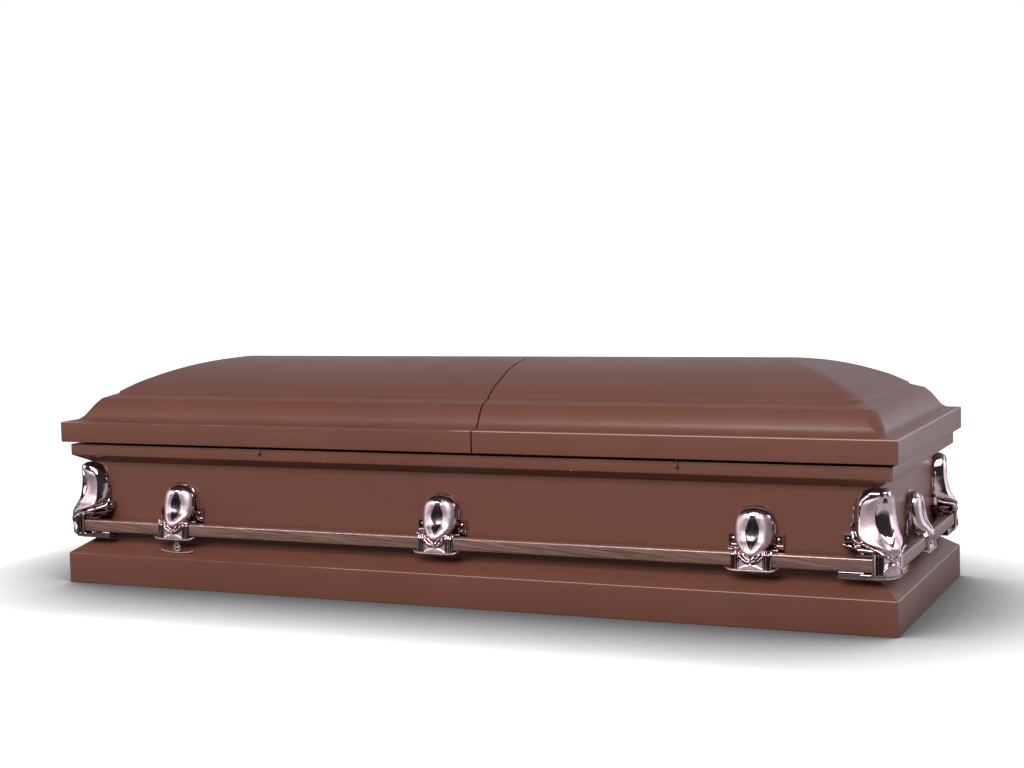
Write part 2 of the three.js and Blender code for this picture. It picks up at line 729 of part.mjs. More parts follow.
const strapTop = SLEEVE_LOW - TAB_DROP - GAP;
const strapHoles = [];
for (const column of [-1, 1]) {
  for (const row of [1, 2, 3]) {
    const x = column * STRAP_WIDTH / 4;
    const z = strapTop - row * STRAP_LENGTH / 4;
    const half = STRAP_HOLE / 2;
    strapHoles.push(block(x - half, x + half, -STRAP_SHEET, 2 * STRAP_SHEET, z - half, z + half));
  }
}
const strapHalf = STRAP_WIDTH / 2;
const strapPlate = block(-strapHalf, strapHalf, 0, STRAP_SHEET, strapTop - STRAP_LENGTH, strapTop);
const strap = toGeometry(cutAway(toSolid(strapPlate), strapHoles));
strap.translate(ARM_STATIONS[0], WALL_INSET - HALF_WIDTH - STRAP_OUT, 0);
addPiece('strap_front_1', strap, plated);

export default casket;
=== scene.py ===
"""Half-couch funeral casket of painted steel with cast handle fittings, on a pale studio floor."""

import math

import bmesh
import bpy
from mathutils import Matrix, Vector


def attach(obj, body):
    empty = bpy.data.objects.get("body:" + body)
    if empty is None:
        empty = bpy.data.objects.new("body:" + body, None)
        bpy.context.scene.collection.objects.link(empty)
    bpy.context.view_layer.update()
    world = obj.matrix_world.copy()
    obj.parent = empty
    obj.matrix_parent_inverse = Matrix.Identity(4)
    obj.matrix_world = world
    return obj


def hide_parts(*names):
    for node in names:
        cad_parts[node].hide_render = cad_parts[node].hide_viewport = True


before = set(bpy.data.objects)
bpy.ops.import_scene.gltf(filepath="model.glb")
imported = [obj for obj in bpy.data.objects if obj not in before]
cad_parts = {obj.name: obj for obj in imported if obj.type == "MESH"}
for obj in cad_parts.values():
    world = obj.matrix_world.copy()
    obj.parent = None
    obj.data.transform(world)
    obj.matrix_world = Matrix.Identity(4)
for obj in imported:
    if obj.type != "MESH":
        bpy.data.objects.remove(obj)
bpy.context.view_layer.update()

# Sizes in millimetres, the same frame as the CAD: +X to the foot end, -Y to the front.
MM = 0.001
HALF_LENGTH, HALF_WIDTH = 1065.0, 356.0
WALL_INSET = 48.0
WALL_LENGTH, WALL_WIDTH = HALF_LENGTH - WALL_INSET, HALF_WIDTH - WALL_INSET
SHEET, GAP = 1.2, 0.3
RIM_LENGTH, RIM_WIDTH = HALF_LENGTH + 4, HALF_WIDTH + 4
BASE_EDGE, BASE_TOP, BASE_FLANGE = 76.0, 107.7, 32.0
WALL_TOP = 354.5
MOULDING_FOOT, MOULDING_EDGE, MOULDING_TOP, MOULDING_INSET = 308.0, 328.0, 356.0, 12.0
LEDGE_INSET, LEDGE_LOW = 62.0, 338.0
SEAL_OUTER, SEAL_INNER = 36.0, 54.0
RIM_LOW, RIM_TOP, LID_TOP = 362.6, 414.0, 558.0
CROWN_START, CROWN_RADIUS = 103.0, 480.0
SPLIT, SPLIT_GAP = 94.0, 4.0

# Each side of the body: its name, its quarter turns from the front, its distance from the middle.
SIDES = (
    ("front", 0, WALL_WIDTH),
    ("foot", 1, WALL_LENGTH),
    ("back", 2, WALL_WIDTH),
    ("head", 3, WALL_LENGTH),
)

# Places in the list of materials of a cast fitting.
POLISHED, FROSTY, SHADED, SATIN = range(4)


# Shapes

MERGE_DISTANCE, LEAST_EDGE = 2e-5, 1e-6


class Shape:
    """Points in millimetres and faces, each face with the number of its material."""

    def __init__(self):
        self.points, self.faces, self.looks = [], [], []

    def face(self, corners, look):
        if callable(look):
            middle = [sum(self.points[c][k] for c in corners) / len(corners) for k in range(3)]
            look = look(*middle)
        self.faces.append(corners)
        self.looks.append(look)

    def skin(self, rings, look=0, caps=True, loop=False):
        """Skins closed rings of equal length one after the other."""
        count, start = len(rings[0]), len(self.points)
        self.points += [point for ring in rings for point in ring]
        for r in range(len(rings) if loop else len(rings) - 1):
            near, far = start + r * count, start + (r + 1) % len(rings) * count
            for i in range(count):
                j = (i + 1) % count
                self.face((near + i, near + j, far + j, far + i), look)
        if caps and not loop:
            for first in (start, start + (len(rings) - 1) * count):
                self.face(tuple(range(first, first + count)), look)

    def mesh(self, name, materials, sharp=32):
        data = bpy.data.meshes.new(name)
        data.from_pydata([[c * MM for c in point] for point in self.points], [], self.faces)
        for material in materials:
            data.materials.append(material)
        data.polygons.foreach_set("material_index", self.looks)
        work = bmesh.new()
        work.from_mesh(data)
        bmesh.ops.remove_doubles(work, verts=work.verts, dist=MERGE_DISTANCE)
        bmesh.ops.dissolve_degenerate(work, edges=work.edges, dist=LEAST_EDGE)
        bmesh.ops.recalc_face_normals(work, faces=work.faces)
        work.to_mesh(data)
        work.free()
        data.shade_smooth()
        data.set_sharp_from_angle(angle=math.radians(sharp))
        return data


def show(name, data, body, nodes):
    """Puts a finished mesh in the scene in place of its CAD nodes."""
    piece = bpy.data.objects.new(name, data)
    bpy.context.scene.collection.objects.link(piece)
    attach(piece, body)
    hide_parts(*nodes)


def smooth(value, low, high):
    """Eases from 0 at low to 1 at high; low may be the larger."""
    share = min(max((value - low) / (high - low), 0.0), 1.0)
    return share * share * (3 - 2 * share)


def ridge(value, centre, width):
    """1 at the centre, falling to 0 at both sides."""
    return math.exp(-(((value - centre) / width) ** 2))


def bezier(start, pull, end, steps):
    """Points of a curve from start to end, drawn towards the pull."""
    points = []
    for k in range(steps + 1):
        t = k / steps
        weights = ((1 - t) ** 2, 2 * t * (1 - t), t * t)
        points.append(tuple(sum(w * c for w, c in zip(weights, axis)) for axis in zip(start, pull, end)))
    return points


def eased(points, radii, steps=4, closed=True):
    """A polyline with its corners rounded; a radius of 0 keeps the corner."""
    result = []
    for i, (point, radius) in enumerate(zip(points, radii)):
        if radius == 0 or (not closed and i in (0, len(points) - 1)):
            result.append(tuple(point))
            continue
        here = Vector(point)
        before = Vector(points[i - 1]) - here
        after = Vector(points[(i + 1) % len(points)]) - here
        cut = radius / math.tan(before.angle(after) / 2)
        first = here + before.normalized() * min(cut, 0.45 * before.length)
        last = here + after.normalized() * min(cut, 0.45 * after.length)
        result += bezier(first, here, last, steps)
    return result


def spline(levels, share):
    """A smooth run through the levels, each a tuple of values."""
    place = share * (len(levels) - 1)
    i = min(int(place), len(levels) - 2)
    t = place - i
    quad = [levels[max(min(i + k, len(levels) - 1), 0)] for k in (-1, 0, 1, 2)]
    values = []
    for a, b, c, d in zip(*quad):
        lead, trail = (c - a) / 2, (d - b) / 2
        cubic, square = 2 * b - 2 * c + lead + trail, 3 * c - 3 * b - 2 * lead - trail
        values.append(cubic * t**3 + square * t * t + lead * t + b)
    return values


def round_box(shape, low, high, ease, look=0):
    """A block with eased edges."""
    (x0, y0, z0), (x1, y1, z1) = low, high
    edge = 0.3 * ease
    levels = ((z0, ease), (z0 + edge, edge), (z0 + ease, 0), (z1 - ease, 0), (z1 - edge, edge), (z1, ease))
    rings = []
    for z, inset in levels:
        left, right, near, far = x0 + inset, x1 - inset, y0 + inset, y1 - inset
        plan = [(left, near), (right, near), (right, far), (left, far)]
        rings.append([(x, y, z) for x, y in eased(plan, [ease] * 4, 3)])
    shape.skin(rings, look)


def around(profile, half_x, half_y, corner, steps=6):
    """Rings of a profile of (inset, height) carried round a rectangle with small rounded corners."""
    rings = []
    for quarter, (sx, sy) in enumerate(((1, -1), (1, 1), (-1, 1), (-1, -1))):
        for k in range(steps + 1):
            angle = (quarter - 1 + k / steps) * math.pi / 2
            ring = []
            for inset, z in profile:
                x = sx * (half_x - inset - corner) + corner * math.cos(angle)
                y = sy * (half_y - inset - corner) + corner * math.sin(angle)
                ring.append((x, y, z))
            rings.append(ring)
    return rings


def on_side(turns, wall, x=0.0):
    """From the frame of a wall facing -Y at y = 0 to its place on the casket."""
    return Matrix.Rotation(turns * math.pi / 2, 4, "Z") @ Matrix.Translation((x * MM, -wall * MM, 0))


def placed(data, name, matrix):
    """A copy of a mesh, moved to its place."""
    copy = data.copy()
    copy.name = name
    copy.transform(matrix)
    return copy


# Materials


def feed(tree, socket, value):
    """Sets an input to a value, or links it to the socket that feeds it."""
    if isinstance(value, bpy.types.NodeSocket):
        tree.links.new(value, socket)
    else:
        socket.default_value = value


def add_node(tree, kind, inputs, settings):
    made = tree.nodes.new(kind)
    for key, value in settings.items():
        setattr(made, key, value)
    for key, value in (inputs or {}).items():
        feed(tree, made.inputs[key], value)
    return made


class Look:
    """A material with a Principled shader and short ways to add procedural nodes."""

    def __init__(self, name, **values):
        self.material = bpy.data.materials.new(name)
        self.material.use_nodes = True
        self.tree = self.material.node_tree
        self.shader = self.tree.nodes["Principled BSDF"]
        for key, value in values.items():
            self.shader.inputs[key.replace("_", " ")].default_value = value

    def node(self, kind, inputs=None, **settings):
        return add_node(self.tree, kind, inputs, settings)

    def place(self):
        return self.node("ShaderNodeTexCoord").outputs["Object"]

    def noise(self, scale, detail):
        inputs = {"Vector": self.place(), "Scale": scale, "Detail": detail, "Roughness": 0.5}
        return self.node("ShaderNodeTexNoise", inputs).outputs["Fac"]

    def remap(self, value, low, high, to_low, to_high):
        inputs = {"Value": value, "From Min": low, "From Max": high, "To Min": to_low, "To Max": to_high}
        return self.node("ShaderNodeMapRange", inputs).outputs["Result"]

    def math(self, operation, a, b):
        return self.node("ShaderNodeMath", {0: a, 1: b}, operation=operation).outputs[0]

    def blend(self, share, first, second):
        """Mixes two colours; all three inputs may be values or sockets."""
        made = self.node("ShaderNodeMix", data_type="RGBA")
        for socket, value in ((made.inputs[0], share), (made.inputs[6], first), (made.inputs[7], second)):
            feed(self.tree, socket, value)
        return made.outputs[2]

    def drive(self, name, value):
        self.tree.links.new(value, self.shader.inputs[name])

    def bump(self, height, strength, distance):
        made = self.node("ShaderNodeBump", {"Height": height, "Strength": strength, "Distance": distance})
        self.drive("Normal", made.outputs["Normal"])


def rgb(red, green, blue):
    """A shader colour from screen values of 11 to 255."""
    linear = [((c / 255 + 0.055) / 1.055) ** 2.4 for c in (red, green, blue)]
    return (*linear, 1.0)


ENAMEL, ENAMEL_PALE, FLAKE, EDGE_WEAR_AND_HIGHLIGHT = (104, 62, 49), (109, 66, 53), (150, 110, 96), (226, 204, 196)
EDGE_FADE = 0.0004


def paint_look(name, bands=()):
    """Brown enamel; each band of height holds a lighter edge where noise passes a threshold: chipped paint
    on the top moulding, a painted highlight on the base and the lid.
    """
    look = Look(name, Metallic=0.0, Coat_Weight=0.06, Coat_Roughness=0.09, Coat_IOR=1.45)
    cloud = look.remap(look.noise(2.2, 2.0), 0.35, 0.65, 0.0, 1.0)
    flake = look.remap(look.noise(700.0, 1.0), 0.3, 0.7, 0.0, 1.0)
    colour = look.blend(cloud, rgb(*ENAMEL), rgb(*ENAMEL_PALE))
    colour = look.blend(look.math("MULTIPLY", flake, 0.06), colour, rgb(*FLAKE))
    height = look.node("ShaderNodeSeparateXYZ", {0: look.place()}).outputs["Z"]
    for low, high, scale, threshold, amount in bands:
        edge = look.remap(height, low - EDGE_FADE, low, 0, 1)
        edge = look.math("MULTIPLY", edge, look.remap(height, high, high + EDGE_FADE, 1, 0))
        wear_and_highlight = look.remap(look.noise(scale, 2.0), threshold, threshold + 0.05, 0.0, amount)
        colour = look.blend(look.math("MULTIPLY", edge, wear_and_highlight), colour, rgb(*EDGE_WEAR_AND_HIGHLIGHT))
    look.drive("Base Color", colour)
    look.drive("Roughness", look.remap(look.noise(9.0, 3.0), 0.3, 0.7, 0.35, 0.39))
    look.bump(look.noise(160.0, 2.0), 0.05, 0.0006)
    return look.material


def plated_look(name, frosted, light, dark):
    """Plated casting, frosted with a fine grain or polished."""
    look = Look(name, Metallic=1.0)
    tarnish = look.remap(look.noise(450.0 if frosted else 30.0, 4.0), 0.35, 0.7, 0.0, 1.0)
    look.drive("Base Color", look.blend(tarnish, rgb(*light), rgb(*dark)))
    if frosted:
        look.drive("Roughness", look.remap(look.noise(60.0, 2.0), 0.3, 0.7, 0.34, 0.42))
        look.bump(look.noise(900.0, 2.0), 0.3, 0.0004)
    else:
        look.drive("Roughness", look.remap(look.noise(45.0, 4.0), 0.4, 0.75, 0.05, 0.13))
    return look.material


def bar_look(name, light, dark):
    """Brushed metal with streaks along the bar, a little aslant."""
    look = Look(name, Metallic=0.75)
    turn = {"Vector": look.place(), "Rotation": (0, math.radians(4), 0), "Scale": (0.9, 0.03, 0.026)}
    along = look.node("ShaderNodeMapping", turn, vector_type="TEXTURE").outputs["Vector"]
    inputs = {"Vector": along, "Scale": 9.0, "Detail": 6.0, "Roughness": 0.7}
    marks = look.node("ShaderNodeTexNoise", inputs)
    streaks = look.remap(marks.outputs["Fac"], 0.3, 0.7, 0.0, 1.0)
    look.drive("Base Color", look.blend(streaks, dark, light))
    look.drive("Roughness", look.remap(streaks, 0.0, 1.0, 0.26, 0.42))
    look.bump(streaks, 0.08, 0.0004)
    return look.material


def plain_look(name, colour, other, metallic, low, high):
    """Two close colours in a fine grain, with the roughness between low and high."""
    look = Look(name, Metallic=metallic)
    grain = look.remap(look.noise(80.0, 3.0), 0.3, 0.7, 0.0, 1.0)
    look.drive("Base Color", look.blend(grain, colour, other))
    look.drive("Roughness", look.remap(grain, 0.0, 1.0, low, high))
    return look.material


# A band of lighter edge, chipped on the top moulding and a painted highlight on the base and the lid: low
# and high in metres, scale of the noise, its threshold, and how light it shows.
PAINT = paint_look("paint")
# The base's band is a painted highlight along its rounded top edge.
PAINT_BASE = paint_look("paint_base", [(0.0750, 0.0766, 1.6, 0.44, 0.2)])
PAINT_CHIPPED = paint_look("paint_chipped", [(0.3255, 0.3285, 60.0, 0.7, 0.8)])
# The lid's band is a painted highlight along the rim's rounded top edge.
PAINT_LID = paint_look("paint_lid", [(0.4126, 0.4143, 1.4, 0.46, 0.36)])
PLATED = plated_look("plated", False, (202, 178, 180), (181, 155, 157))
FROSTED = plated_look("plated_frosted", True, (208, 185, 190), (180, 156, 162))
BAR_SIDE = bar_look("bar_brushed", rgb(204, 160, 148), rgb(116, 80, 72))

# After the two colours: the share of metal, and the least and the greatest roughness.
# The oval and the ears' hollows take darker copies of the plating: painted shade and reflection.
OVAL = plain_look("plated_dark", rgb(122, 110, 112), rgb(104, 92, 94), 1.0, 0.14, 0.2)
HOLLOW = plain_look("plated_shaded", rgb(132, 88, 78), rgb(92, 58, 50), 0.9, 0.15, 0.3)
# The bars' upper front edge is lighter: a painted highlight.
BAR_HIGHLIGHT = plain_look("bar_painted_highlight", rgb(196, 166, 157), rgb(164, 132, 123), 0.55, 0.2, 0.3)
STRAP = plain_look("strap_bright", rgb(222, 212, 214), rgb(200, 188, 190), 0.6, 0.3, 0.4)
BAR_END = plain_look("bar_satin", rgb(150, 128, 124), rgb(136, 114, 110), 0.8, 0.34, 0.44)
STEEL = plain_look("hinge_steel", rgb(110, 104, 102), rgb(92, 86, 84), 0.9, 0.35, 0.5)
CATCH = plain_look("catch_steel", rgb(120, 82, 70), rgb(104, 66, 54), 0.3, 0.25, 0.35)
# Near black for the hollows, grooves and core of the corner fittings: painted shade.
INSIDE_SHADE = plain_look("casting_painted_shade", rgb(30, 25, 25), rgb(22, 18, 18), 0.2, 0.5, 0.7)
RUBBER = plain_look("seal_rubber", rgb(24, 21, 19), rgb(33, 29, 27), 0.0, 0.6, 0.8)


# Body


def body_piece(name, profile, radii, corner, material):
    """One closed run of a profile round the body, in place of its four lengths."""
    shape = Shape()
    shape.skin(around(eased(profile, radii), HALF_LENGTH, HALF_WIDTH, corner), loop=True)
    nodes = [f"{name}_{side}" for side, _, _ in SIDES]
    show(name, shape.mesh(name, [material]), "casket_body", nodes)


# How far the inside of the sheet lies from its outside, straight down a slope and at its foot.
BASE_SLANT, MOULDING_SLANT, EDGE_SHIFT = 1.45, 1.4, 0.6

meets_wall = WALL_INSET - GAP
base_profile = [
    (BASE_FLANGE, 0), (0, 0), (0, BASE_EDGE), (meets_wall, BASE_TOP),
    (meets_wall, BASE_TOP - BASE_SLANT), (SHEET, BASE_EDGE - EDGE_SHIFT), (SHEET, SHEET),
    (BASE_FLANGE, SHEET),
]
body_piece("base_moulding", base_profile, [0, 2, 3, 0, 0, 2, 1, 0], 4.0, PAINT_BASE)
wall_inner = WALL_INSET + SHEET
wall_profile = [(WALL_INSET, GAP), (WALL_INSET, WALL_TOP), (wall_inner, WALL_TOP), (wall_inner, GAP)]
body_piece("wall_panel", wall_profile, [0] * 4, 5.0, PAINT)
moulding_profile = [
    (meets_wall, MOULDING_FOOT), (MOULDING_INSET, MOULDING_EDGE), (MOULDING_INSET, MOULDING_TOP),
    (LEDGE_INSET, MOULDING_TOP), (LEDGE_INSET, LEDGE_LOW), (LEDGE_INSET - SHEET, LEDGE_LOW),
    (LEDGE_INSET - SHEET, MOULDING_TOP - SHEET), (MOULDING_INSET + SHEET, MOULDING_TOP - SHEET),
    (MOULDING_INSET + SHEET, MOULDING_EDGE + EDGE_SHIFT), (meets_wall, MOULDING_FOOT + MOULDING_SLANT),
]
moulding_radii = [0, 2.5, 2.5, 2, 0, 0, 1, 1, 1, 0]
body_piece("top_moulding", moulding_profile, moulding_radii, 4.0, PAINT_CHIPPED)
seal_low, seal_top = MOULDING_TOP + GAP, RIM_LOW - GAP
seal_profile = [
    (SEAL_OUTER, seal_low), (SEAL_OUTER, seal_top), (SEAL_INNER, seal_top), (SEAL_INNER, seal_low),
]
body_piece("seal", seal_profile, [0.5, 2, 2, 0.5], 3.0, RUBBER)


# Lids

# Points of the lid's profile as (inset, height), and the corner radii of the lid's plan.
SHELF_BACK, COVE_TOP, OGEE_TOP = (27.0, RIM_TOP + 3), (41.0, 433.0), (67.5, 467.9)
COVE_PULL, OGEE_PULL = (35.0, 419.0), (52.5, 454.5)
LOWER_CREASE = [(68.3, 468.6), (69.2, 469.2), (70.3, 469.6)]
FLAT_BAND = [(84.0, 474.4), (97.0, 478.9)]
CROWN_STEP = [(98.2, 479.6), (100.3, 484.2), (101.4, 485.3)]
CROWN_ROWS, SHOULDER_LIFT, SHOULDER_RANGE = 28, 2.4, (180.0, 105.0)
RIM_CORNER, OGEE_CORNER, CROWN_CORNER = 2.0, 29.0, 16.0
OGEE_RANGE, CROWN_RANGE = (27.0, 46.0), (104.0, 150.0)
FRONT_STEPS, CORNER_STEPS = 10, 12
LIP_DEPTH, LIP_AIM = 22.0, 400.0


def lid_profile():
    """Inset and height, from the turned-in flange under the rim up to the ridge."""
    edges = [(WALL_INSET, RIM_LOW), (0, RIM_LOW), (0, RIM_TOP), SHELF_BACK]
    rim = eased(edges, [0, 2, 2, 0], 5, closed=False)
    cove = bezier(SHELF_BACK, COVE_PULL, COVE_TOP, 8)
    ogee = bezier(COVE_TOP, OGEE_PULL, OGEE_TOP, 12)
    points = rim + cove[1:] + ogee[1:] + LOWER_CREASE + FLAT_BAND + CROWN_STEP
    for k in range(CROWN_ROWS + 1):
        inset = CROWN_START + (RIM_WIDTH - CROWN_START) * k / CROWN_ROWS
        arch = math.sqrt(CROWN_RADIUS**2 - (RIM_WIDTH - inset) ** 2)
        lift = SHOULDER_LIFT * smooth(inset, *SHOULDER_RANGE)
        points.append((inset, LID_TOP - CROWN_RADIUS + arch + lift))
    return points


def offset_profile(points, distance):
    """The profile moved inward by the thickness of the sheet."""
    moved = []
    for i, (inset, height) in enumerate(points):
        before, after = points[max(i - 1, 0)], points[min(i + 1, len(points) - 1)]
        along = Vector((after[0] - before[0], after[1] - before[1])).normalized()
        moved.append((min(inset + along.y * distance, RIM_WIDTH), height - along.x * distance))
    return moved


def lid_path(inset, split, sign):
    """Plan of one level: along the front from the split, round the end and back again."""
    half_y = RIM_WIDTH - inset
    corner = RIM_CORNER + (OGEE_CORNER - RIM_CORNER) * smooth(inset, *OGEE_RANGE)
    corner += (CROWN_CORNER - OGEE_CORNER) * smooth(inset, *CROWN_RANGE)
    corner = max(min(corner, half_y), 0.0)
    end_x, end_y = RIM_LENGTH - inset - corner, half_y - corner
    front = [(split + (sign * end_x - split) * k / FRONT_STEPS, -half_y) for k in range(FRONT_STEPS)]
    for k in range(CORNER_STEPS + 1):
        angle = k / CORNER_STEPS * math.pi / 2
        front.append((sign * (end_x + corner * math.sin(angle)), -end_y - corner * math.cos(angle)))
    front += [(sign * (end_x + corner), -end_y * (1 - k / 3)) for k in (1, 2)]
    middle = [(sign * (end_x + corner), 0.0)]
    return front + middle + [(x, -y) for x, y in reversed(front)]


def lid_shape(split, sign):
    """A shell of sheet, with a lip turned in along the split."""
    outer = lid_profile()
    inner = offset_profile(outer, SHEET)
    back_x = split + sign * SHEET
    rings = []
    for (t, z), (t_in, z_in) in zip(outer, inner):
        skin = [(x, y, z) for x, y in lid_path(t, split, sign)]
        lining = [(x, y, z_in) for x, y in lid_path(t_in, back_x, sign)]
        inward = (Vector((RIM_WIDTH, LIP_AIM)) - Vector((t, z))).normalized() * LIP_DEPTH
        lip_y, lip_z = max(RIM_WIDTH - t - inward.x, 0.0), z + inward.y
        back_lip = [(split, lip_y, lip_z), (back_x, lip_y, lip_z)]
        front_lip = [(back_x, -lip_y, lip_z), (split, -lip_y, lip_z)]
        rings.append(skin + back_lip + lining[::-1] + front_lip)
    shape = Shape()
    shape.skin(rings, caps=False)
    # The sheet's edge along the flange and the ends of the lip are closed here.
    count, columns = len(rings[0]), (len(rings[0]) - 4) // 2
    for k in range(columns - 1):
        far = count - 3 - k
        shape.face((k, k + 1, far - 1, far), 0)
    shape.face((columns - 1, columns, columns + 1, columns + 2), 0)
    shape.face((0, count - 1, count - 2, count - 3), 0)
    return shape


for lid, sign in (("lid_head", -1), ("lid_foot", 1)):
    data = lid_shape(SPLIT + sign * SPLIT_GAP / 2, sign).mesh(lid, [PAINT_LID], sharp=40)
    show(lid, data, lid, [lid])


# Handle bars, in the frame of their wall

BAR_FRONT, BAR_BACK, BAR_LOW, BAR_TOP = -44.0, -22.0, 133.5, 162.5
BAR_ROUND, BAR_CHAMFER, BAR_SHORTER = 3.5, 1.5, 51.0
LIT_DEPTH, LIT_HEIGHT = 4.0, 3.2


def bar_shape(end):
    """A bar from -end to end; its upper front edge has the second material, a lighter painted highlight.
    """
    mid_y, mid_z = (BAR_FRONT + BAR_BACK) / 2, (BAR_LOW + BAR_TOP) / 2
    half_y, half_z = mid_y - BAR_FRONT, mid_z - BAR_LOW
    corners = [(BAR_FRONT, BAR_LOW), (BAR_FRONT, BAR_TOP), (BAR_BACK, BAR_TOP), (BAR_BACK, BAR_LOW)]
    section = eased(corners, [BAR_ROUND] * 4, 5)
    full = end - BAR_CHAMFER
    rings = []
    for x, cut in ((-end, BAR_CHAMFER), (-full, 0), (full, 0), (end, BAR_CHAMFER)):
        ring = [(x, y + cut * (mid_y - y) / half_y, z + cut * (mid_z - z) / half_z) for y, z in section]
        rings.append(ring)
    shape = Shape()
    shape.skin(rings, lambda x, y, z: int(y < BAR_FRONT + LIT_DEPTH and z > BAR_TOP - LIT_HEIGHT))
    return shape


for side, turns, wall in SIDES:
    shape = bar_shape((HALF_LENGTH if turns % 2 == 0 else HALF_WIDTH) - BAR_SHORTER)
    looks = [BAR_SIDE, BAR_HIGHLIGHT] if side in ("front", "back") else [BAR_END, BAR_END]
    data = placed(shape.mesh(f"bar_{side}", looks), f"bar_{side}", on_side(turns, wall))
    show(f"bar_{side}", data, "casket_body", [f"bar_{side}"])


# Arms: an egg-shaped shield over a ribbed sleeve round the bar

ARM_STATIONS = (-740, -10, 749)

# Height, half width, and how far the back and the front of the shield stand off the wall.
SHIELD_LEVELS = (
    (148, 2, 42, 50), (156, 12, 38, 52), (166, 26, 30, 51), (178, 38, 19, 45), (190, 43.5, 14, 37),
    (207, 45, 12.5, 32), (226, 43.5, 9, 29), (241, 38.5, 6.5, 26), (251, 29, 5, 21), (256, 16, 5, 15),
    (257.5, 6, 5, 10),
)
SHIELD_ROWS, BORDER_COLUMNS, LOBE_COLUMNS, OVAL_COLUMNS = 96, 8, 20, 10
OVAL_LOW, OVAL_HIGH, OVAL_HALF, OVAL_NECK, OVAL_END = 170.0, 243.0, 15.5, 5.0, 232.0
LOBE_LOW, LOBE_SHOULDER, LOBE_ROUND = 158.0, 230.0, 17.0

SLEEVE_HALF, SLEEVE_PLAIN, SLEEVE_FACE = 46, 27.0, 34.0
SLEEVE_SECTION = [(17, 124), (51, 124), (46.5, 160), (40, 169), (17, 169)]
RIBS = (29.2, 33.9, 38.6, 43.3)
SWAGS = ((139.5, 0.02), (145.5, 0.03))
ARCH_TOP, ARCH_BEND = 136.0, 0.0125
FROST_FRONT, FROST_TOP, FROST_BEND = -40.0, 138.0, 0.02

# Height, half length and front edge of the tray.
TRAY_LEVELS = (
    (124.5, 44, 46), (122.5, 55, 49), (122.8, 58.5, 51.5), (125, 60, 52.5), (127, 59, 52), (128, 54, 51),
    (130, 46, 49),
)
TRAY_BACK, TRAY_STEPS, TRAY_RISE, TRAY_BEND, TRAY_END = 17.0, 12, 7.0, 40.0, 20.0
TAB_LEVELS = ((18, 0.8), (18.8, 0), (24.2, 0), (25, 0.8))
TAB_HALF, TAB_DROP, TAB_TOP = 10.0, 9.0, 124.0
PIN_END = ((-3, 1.2), (-2.4, 2.8), (0, 3.6), (2.4, 2.8), (3, 2.2))
PIN_OUT, PIN_CENTRE = 53.5, (-28.0, 167.5)


def lens_half(z, low, high, width):
    """Half the width of a pointed oval at a height."""
    share = (z - low) / (high - low)
    return width * math.sin(math.pi * share) ** 0.85 if 0 < share < 1 else 0.0


def skin_looks(shape, rings, looks):
    """Skins the rings; looks holds the material number of every face between two rings."""
    first = len(shape.faces)
    shape.skin(rings)
    numbers = [number for row in looks[:-1] for number in row]
    shape.looks[first : first + len(numbers)] = numbers


def arm_shield(shape):
    """Two frosted lobes beside a dark pointed oval, inside a polished border."""
    rings, looks = [], []
    columns = BORDER_COLUMNS + LOBE_COLUMNS + OVAL_COLUMNS
    for step in range(SHIELD_ROWS + 1):
        z, half, back, front = spline(SHIELD_LEVELS, step / SHIELD_ROWS)
        wide = max(lens_half(z, OVAL_LOW, OVAL_HIGH, OVAL_HALF), OVAL_NECK * smooth(z, 215, 225))
        wide = min(wide, 0.8 * half)
        arc = math.sqrt(1 - min(max((z - LOBE_SHOULDER) / LOBE_ROUND, 0), 1) ** 2)
        wide = 0.5 * half + (wide - 0.5 * half) * arc
        brim = 0.5 * half + 0.42 * half * arc
        right = [half - (half - brim) * (k / BORDER_COLUMNS) ** 2 for k in range(BORDER_COLUMNS)]
        right += [brim + (wide - brim) * k / LOBE_COLUMNS for k in range(LOBE_COLUMNS)]
        right += [wide * (1 - k / OVAL_COLUMNS) for k in range(OVAL_COLUMNS + 1)]
        ring, row = [], []
        for x in right + [-x for x in right[-2::-1]]:
            side = abs(x)
            out = back + 2 + (front - back - 2) * max(1 - (side / half) ** 2.4, 0) ** 0.55
            if side < wide:
                out -= (1.2 + 1.6 * (1 - (x / wide) ** 2)) * smooth(z, 242, 226)
            elif side < brim:
                out += 1.8 * math.sin(math.pi * (side - wide) / (brim - wide)) * smooth(brim - wide, 4, 16)
            column = min(len(ring), 2 * columns - 1 - len(ring))
            look = POLISHED
            if BORDER_COLUMNS <= column < BORDER_COLUMNS + LOBE_COLUMNS and z > LOBE_LOW:
                look = FROSTY
            elif column >= BORDER_COLUMNS + LOBE_COLUMNS and wide > 0.5 and z < OVAL_END:
                look = SHADED
            row.append(look)
            ring.append((x, -out, z))
        rings.append(ring + [(-half, -back, z), (half, -back, z)])
        looks.append(row + [POLISHED] * 2)
    skin_looks(shape, rings, looks)


def sleeve_relief(x, z):
    """Ribs at the ends, two swags under the chin and an arched field below them."""
    side = abs(x)
    if side > SLEEVE_PLAIN:
        return -1.8 + sum(3.0 * ridge(side, rib, 1.5) for rib in RIBS)
    arch = ARCH_TOP - ARCH_BEND * side**2
    height = -1.1 * smooth(z, arch, arch + 3)
    for low, bend in SWAGS:
        height += 4.2 * ridge(z, low + bend * side**2, 1.5)
    return height


def sleeve_look(x, y, z):
    """Frosted on the front below the lower swag."""
    below = z < FROST_TOP + FROST_BEND * x * x
    return FROSTY if below and abs(x) < SLEEVE_PLAIN - 1 and y < FROST_FRONT else POLISHED


